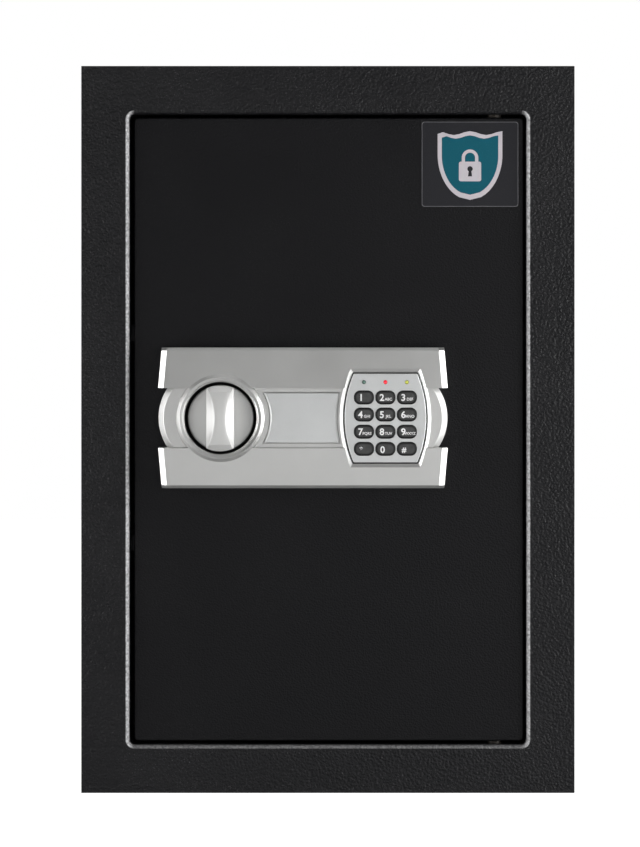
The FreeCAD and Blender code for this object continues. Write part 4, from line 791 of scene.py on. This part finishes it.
def lettering(name, text, size, centre, y, bold=0.0):
    """Printed letters: a flat text made into a mesh, thinly raised, then set in place."""
    curve = bpy.data.curves.new(name, "FONT")
    curve.body = text
    curve.size = size
    curve.offset = bold
    curve.extrude = 0.02 * mm
    curve.resolution_u = 3
    curve.align_x, curve.align_y = "CENTER", "CENTER"
    words = bpy.data.objects.new(name, curve)
    bpy.context.scene.collection.objects.link(words)
    bpy.context.view_layer.update()
    mesh = bpy.data.meshes.new_from_object(words)
    bpy.data.objects.remove(words)
    upright = Matrix.Rotation(math.pi / 2, 4, "X")
    mesh.transform(Matrix.Translation(Vector((centre[0], y, centre[1]))) @ upright)
    return mesh


legends = {"1": ("1", ""), "2": ("2", "ABC"), "3": ("3", "DEF"), "4": ("4", "GHI"), "5": ("5", "JKL"),
           "6": ("6", "MNO"), "7": ("7", "PQRS"), "8": ("8", "TUV"), "9": ("9", "WXYZ"),
           "star": ("*", ""), "0": ("0", ""), "hash": ("#", "")}
for label, (digit, letters) in legends.items():
    node = "key_" + label
    low, high, centre, half_x, half_z = face_of(node)
    cap, rim = key_cap(low, high, centre, half_x, half_z)
    key = piece("cap_" + label, [cap], key_rubber, "key_body_" + label, [node])
    # The rim attribute marks the painted shade along the key's edge.
    key.data.attributes.new("rim", "FLOAT", "POINT").data.foreach_set("value", rim)
    left = -2.7 * mm if letters else -2.2 * mm
    drop = -0.9 * mm if label in ("star", "0", "hash") else -0.3 * mm
    size = 5.4 * mm if label in ("star", "hash") else 7.2 * mm
    big = (centre[0] + left, centre[1] + drop)
    parts = [lettering("digit_" + label, digit, size, big, low.y, 0.18 * mm)]
    if letters:
        small = (centre[0] + 2.3 * mm, centre[1] - 1.4 * mm)
        parts.append(lettering("letters_" + label, letters, 2.9 * mm, small, low.y, 0.07 * mm))
    for mesh, part in zip(parts, ("digit", "letters")):
        mesh.materials.clear()
        mesh.materials.append(legend_ink)
        printed_legend = bpy.data.objects.new(part + "_on_" + label, mesh)
        bpy.context.scene.collection.objects.link(printed_legend)
        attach(printed_legend, "key_body_" + label)


def board_material():
    """Circuit board: green mask with faint copper tracks showing through in a square pattern."""
    material, tree, shader = blank_material("board_mask")
    coords = tree.nodes.new("ShaderNodeTexCoord").outputs["Object"]
    tracks = tree.nodes.new("ShaderNodeTexBrick")
    tracks.inputs["Scale"].default_value = 240.0
    tracks.inputs["Mortar Size"].default_value = 0.035
    turned = tree.nodes.new("ShaderNodeMapping")
    turned.inputs["Rotation"].default_value = (math.pi / 2, 0, 0)
    tree.links.new(coords, turned.inputs["Vector"])
    tree.links.new(turned.outputs[0], tracks.inputs["Vector"])
    colour = two_colours(tree, tracks.outputs["Fac"], (0.012, 0.11, 0.05), (0.05, 0.24, 0.10))
    tree.links.new(colour, shader.inputs["Base Color"])
    tree.links.new(bump(tree, tracks.outputs["Fac"], 0.03 * mm), shader.inputs["Normal"])
    shader.inputs["Roughness"].default_value = 0.3
    return material


dress(board_material(), "keypad_board")


# ---- Three lamps above the keys: clear-tinted moulded lenses with a foot that holds them behind the
# plate. The green one is unlit, the red one is lit, and the yellow one glows faintly.

def lens_material(name, colour, glow):
    """Tinted lens: its colour is painted brighter towards its middle, where the lit die is, and
    darker towards its edge, as painted light and shade that the unlit lens has too.
    """
    material, tree, shader = blank_material(name)
    facing = tree.nodes.new("ShaderNodeLayerWeight")
    facing.inputs["Blend"].default_value = 0.35
    # Painted shade: towards the edge the colour falls to 0.45 of the tint.
    edge = tuple(c * 0.45 for c in colour)
    tree.links.new(two_colours(tree, facing.outputs["Facing"], colour, edge), shader.inputs["Base Color"])
    shader.inputs["Emission Color"].default_value = (*colour, 1.0)
    shader.inputs["Emission Strength"].default_value = glow
    shader.inputs["Roughness"].default_value = 0.25
    shader.inputs["Coat Weight"].default_value = 0.5
    return material


lamps = {"green": ((0.10, 0.19, 0.15), 0.0), "red": ((0.75, 0.015, 0.03), 0.6),
         "yellow": ((0.50, 0.52, 0.08), 0.25)}
r, foot_r, foot_t = 1.5 * mm, 1.9 * mm, 1 * mm
for colour_name, (tint, glow) in lamps.items():
    low, high, (x, z), _, _ = face_of("led_" + colour_name)
    rows = [(foot_r, high.y), (foot_r, high.y - foot_t), (r, high.y - foot_t), (r, low.y + r)]
    rows += [(r * math.cos(t), low.y + r - r * math.sin(t)) for t in np.linspace(0.2, 1.5, 7)]
    turns = np.arange(32) * tau / 32
    loops = [at_depth(np.column_stack([x + q * np.cos(turns), z + q * np.sin(turns)]), y) for q, y in rows]
    lens = lens_material(colour_name + "_lens", tint, glow)
    piece("lamp_" + colour_name, [skin(loops)], lens, "door", ["led_" + colour_name])


# ---- Bolt work: a zinc-plated carriage that slides on two studs, two chromed bolts and their
# black screws.

chrome = grained("bolt_chrome", (0.60, 0.60, 0.61), (0.72, 0.72, 0.73), 1.0, 0.14, 900, (0.3, 4, 4),
                 depth=0.008 * mm)
black_oxide = grained("black_oxide", (0.012, 0.012, 0.013), (0.030, 0.030, 0.032), 0.6, 0.38, 700)
dress(zinc, "bolt_carriage")
dress(chrome, "locking_bolts")
dress(black_oxide, "bolt_screws", "cover_screws")


# ---- Solenoid: a bent steel strap around a taped copper coil, a ground plunger, and a coil spring
# between its collar and the strap.

def wound_copper():
    """Enamelled wire wound in even turns: bands along Z, each a rounded ridge, with the colour
    painted darker in the grooves between turns as shade.
    """
    material, tree, shader = blank_material("copper_winding")
    coords = tree.nodes.new("ShaderNodeTexCoord").outputs["Object"]
    turns = tree.nodes.new("ShaderNodeTexWave")
    turns.bands_direction = "Z"
    turns.inputs["Scale"].default_value = 420.0
    turns.inputs["Distortion"].default_value = 0.2
    tree.links.new(coords, turns.inputs["Vector"])
    # Painted shade: darker copper in each groove, the copper's own colour on each ridge.
    colour = two_colours(tree, turns.outputs["Fac"], (0.22, 0.07, 0.025), (0.68, 0.28, 0.12))
    tree.links.new(colour, shader.inputs["Base Color"])
    tree.links.new(bump(tree, turns.outputs["Fac"], 0.15 * mm), shader.inputs["Normal"])
    shader.inputs["Metallic"].default_value = 0.9
    shader.inputs["Roughness"].default_value = 0.3
    return material


def coil_spring(x, y, low_z, high_z, radius, wire, turns=4.5, steps=160, around=10):
    """Round wire along a helix: the wire's circle is set across the helix's direction by two unit
    vectors, one pointing away from the axis and one square to both."""
    t = np.linspace(0, 1, steps)
    angle = t * turns * tau
    pitch = high_z - low_z - 2 * wire
    height = low_z + wire + pitch * t
    centre = np.column_stack([x + radius * np.cos(angle), y + radius * np.sin(angle), height])
    out = np.column_stack([np.cos(angle), np.sin(angle), np.zeros(steps)])
    along = np.gradient(centre, axis=0)
    along /= np.linalg.norm(along, axis=1)[:, None]
    side = np.cross(along, out)
    phi = np.arange(around) * tau / around
    cos, sin = np.cos(phi)[None, :, None], np.sin(phi)[None, :, None]
    loops = centre[:, None] + wire * (cos * out[:, None] + sin * side[:, None])
    return skin(loops[:, ::-1])


low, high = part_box("solenoid_spring")
spring = coil_spring((low.x + high.x) / 2, (low.y + high.y) / 2, low.z, high.z, 4.9 * mm, 0.4 * mm)
piece("solenoid_spring_wire", [spring], bright_steel, "door", ["solenoid_spring"])
dress(wound_copper(), "solenoid_coil")
dress(zinc, "solenoid_frame")
dress(bright_steel, "solenoid_plunger", "battery_contacts")


# ---- Battery case, cells and lid: black moulded plastic with a fine spark texture, and four cells
# in printed sleeves.

def cell_sleeve():
    """Printed sleeve: dark blue with a plain pale band near each end, glossy."""
    material, tree, shader = blank_material("cell_sleeve")
    coords = tree.nodes.new("ShaderNodeTexCoord").outputs["Object"]
    bands = tree.nodes.new("ShaderNodeTexWave")
    bands.bands_direction = "Z"
    bands.inputs["Scale"].default_value = 14.0
    tree.links.new(coords, bands.inputs["Vector"])
    pale = map_range(tree, bands.outputs["Fac"], 0.80, 0.84, 0.0, 1.0)
    colour = two_colours(tree, pale, (0.03, 0.045, 0.16), (0.55, 0.56, 0.58))
    tree.links.new(colour, shader.inputs["Base Color"])
    scuffs, = object_noise(tree, (300.0, 3.0))
    tree.links.new(map_range(tree, scuffs.outputs["Fac"], 0.3, 0.7, 0.18, 0.32), shader.inputs["Roughness"])
    return material


moulded_black = grained("moulded_black_plastic", (0.018, 0.018, 0.019), (0.026, 0.026, 0.028),
                        0.0, 0.5, 2400, depth=0.06 * mm)
lead_red = grained("lead_insulation", (0.30, 0.018, 0.014), (0.40, 0.025, 0.02), 0.0, 0.4, 600)
button_red = grained("button_red_plastic", (0.42, 0.012, 0.010), (0.52, 0.018, 0.015), 0.0, 0.25, 900,
                     coat=0.3)
dress(moulded_black, "battery_case", "battery_lid")
dress(cell_sleeve(), "batteries")
dress(lead_red, "wiring_loom")
dress(button_red, "reset_button")


# ---- The room: a white floor and background, tall softboxes at both sides, one above, a low panel
# in front, and a level camera in front, a little above the middle of the safe.

def stage_floor(size=5.0, z=-0.42):
    """A square of white floor, brighter to the eye than the light it sends back."""
    corners = np.array([[-1, -1], [1, -1], [1, 1], [-1, 1]]) * size
    mesh = bpy.data.meshes.new("floor")
    mesh.from_pydata([(x, y, z) for x, y in corners], [], [(0, 1, 2, 3)])
    floor = bpy.data.objects.new("floor", mesh)
    bpy.context.scene.collection.objects.link(floor)
    material, tree, shader = blank_material("floor_white")
    seen = tree.nodes.new("ShaderNodeLightPath").outputs["Is Camera Ray"]
    shader.inputs["Base Color"].default_value = (0.35, 0.35, 0.35, 1)
    shader.inputs["Roughness"].default_value = 0.9
    shader.inputs["Emission Color"].default_value = (1, 1, 1, 1)
    tree.links.new(seen, shader.inputs["Emission Strength"])
    mesh.materials.append(material)


def white_room(front, behind, rise):
    """White background to the eye; its light is strong from behind the safe and weak from in front,
    where it grows from above to below by the rise."""
    world = bpy.data.worlds.new("white_room")
    bpy.context.scene.world = world
    world.use_nodes = True
    tree = world.node_tree
    shader = tree.nodes["Background"]
    toward = tree.nodes.new("ShaderNodeSeparateXYZ")
    tree.links.new(tree.nodes.new("ShaderNodeTexCoord").outputs["Generated"], toward.inputs[0])
    ahead = map_range(tree, toward.outputs["Z"], 0.14, -0.22, front, front + rise)
    light = map_range(tree, toward.outputs["Y"], -0.2, 0.5, 0.0, behind)
    light = number_math(tree, "MAXIMUM", light, ahead)
    seen = tree.nodes.new("ShaderNodeLightPath").outputs["Is Camera Ray"]
    tree.links.new(number_math(tree, "MAXIMUM", light, seen), shader.inputs["Strength"])
    shader.inputs["Color"].default_value = (1, 1, 1, 1)


def softbox(name, place, size, radiance, aim=(0, 0, 0)):
    """A rectangular lamp that faces a point; its power is its radiance times pi times its area."""
    light = bpy.data.lights.new(name, "AREA")
    light.shape = "RECTANGLE"
    light.size, light.size_y = size
    light.energy = radiance * math.pi * size[0] * size[1]
    lamp = bpy.data.objects.new(name, light)
    lamp.location = place
    lamp.rotation_euler = (Vector(aim) - Vector(place)).to_track_quat("-Z", "Y").to_euler()
    lamp.visible_camera = False
    bpy.context.scene.collection.objects.link(lamp)


stage_floor()
white_room(0.02, 0.8, 0.58)
softbox("softbox_left", (-1.10, -0.42, 0.02), (0.60, 1.1), 6.0)
softbox("softbox_right", (1.10, -0.40, 0.00), (0.60, 1.2), 9.0)
softbox("softbox_above", (0.0, -0.6, 1.5), (1.2, 0.8), 1.2)
softbox("panel_low", (0.35, -2.6, -0.45), (2.4, 0.7), 2.6, (0, 0, -0.1))
softbox("panel_high_right", (0.75, -1.6, 0.35), (0.5, 0.5), 3.0, (0.05, 0, 0.05))

view = bpy.data.cameras.new("camera")
camera = bpy.data.objects.new("camera", view)
bpy.context.scene.collection.objects.link(camera)
distance, eye_z = 2.0, 0.07
flange_share = 0.7709375           # of the view's width
to_the_right, below = 0.01234375, 0.009375  # safe's middle from the view's, as shares of its width
seen_w = 2 * flange_x / flange_share
view.sensor_fit = "HORIZONTAL"
view.sensor_width = 36.0
view.lens = view.sensor_width * (distance - sheet) / seen_w
view.clip_start = 0.05
view.shift_x = -to_the_right
view.shift_y = below - eye_z / seen_w
camera.location = (0.0, -distance, eye_z)
camera.rotation_euler = (math.pi / 2, 0, 0)
bpy.context.scene.camera = camera
bpy.context.scene.view_settings.view_transform = "Standard"
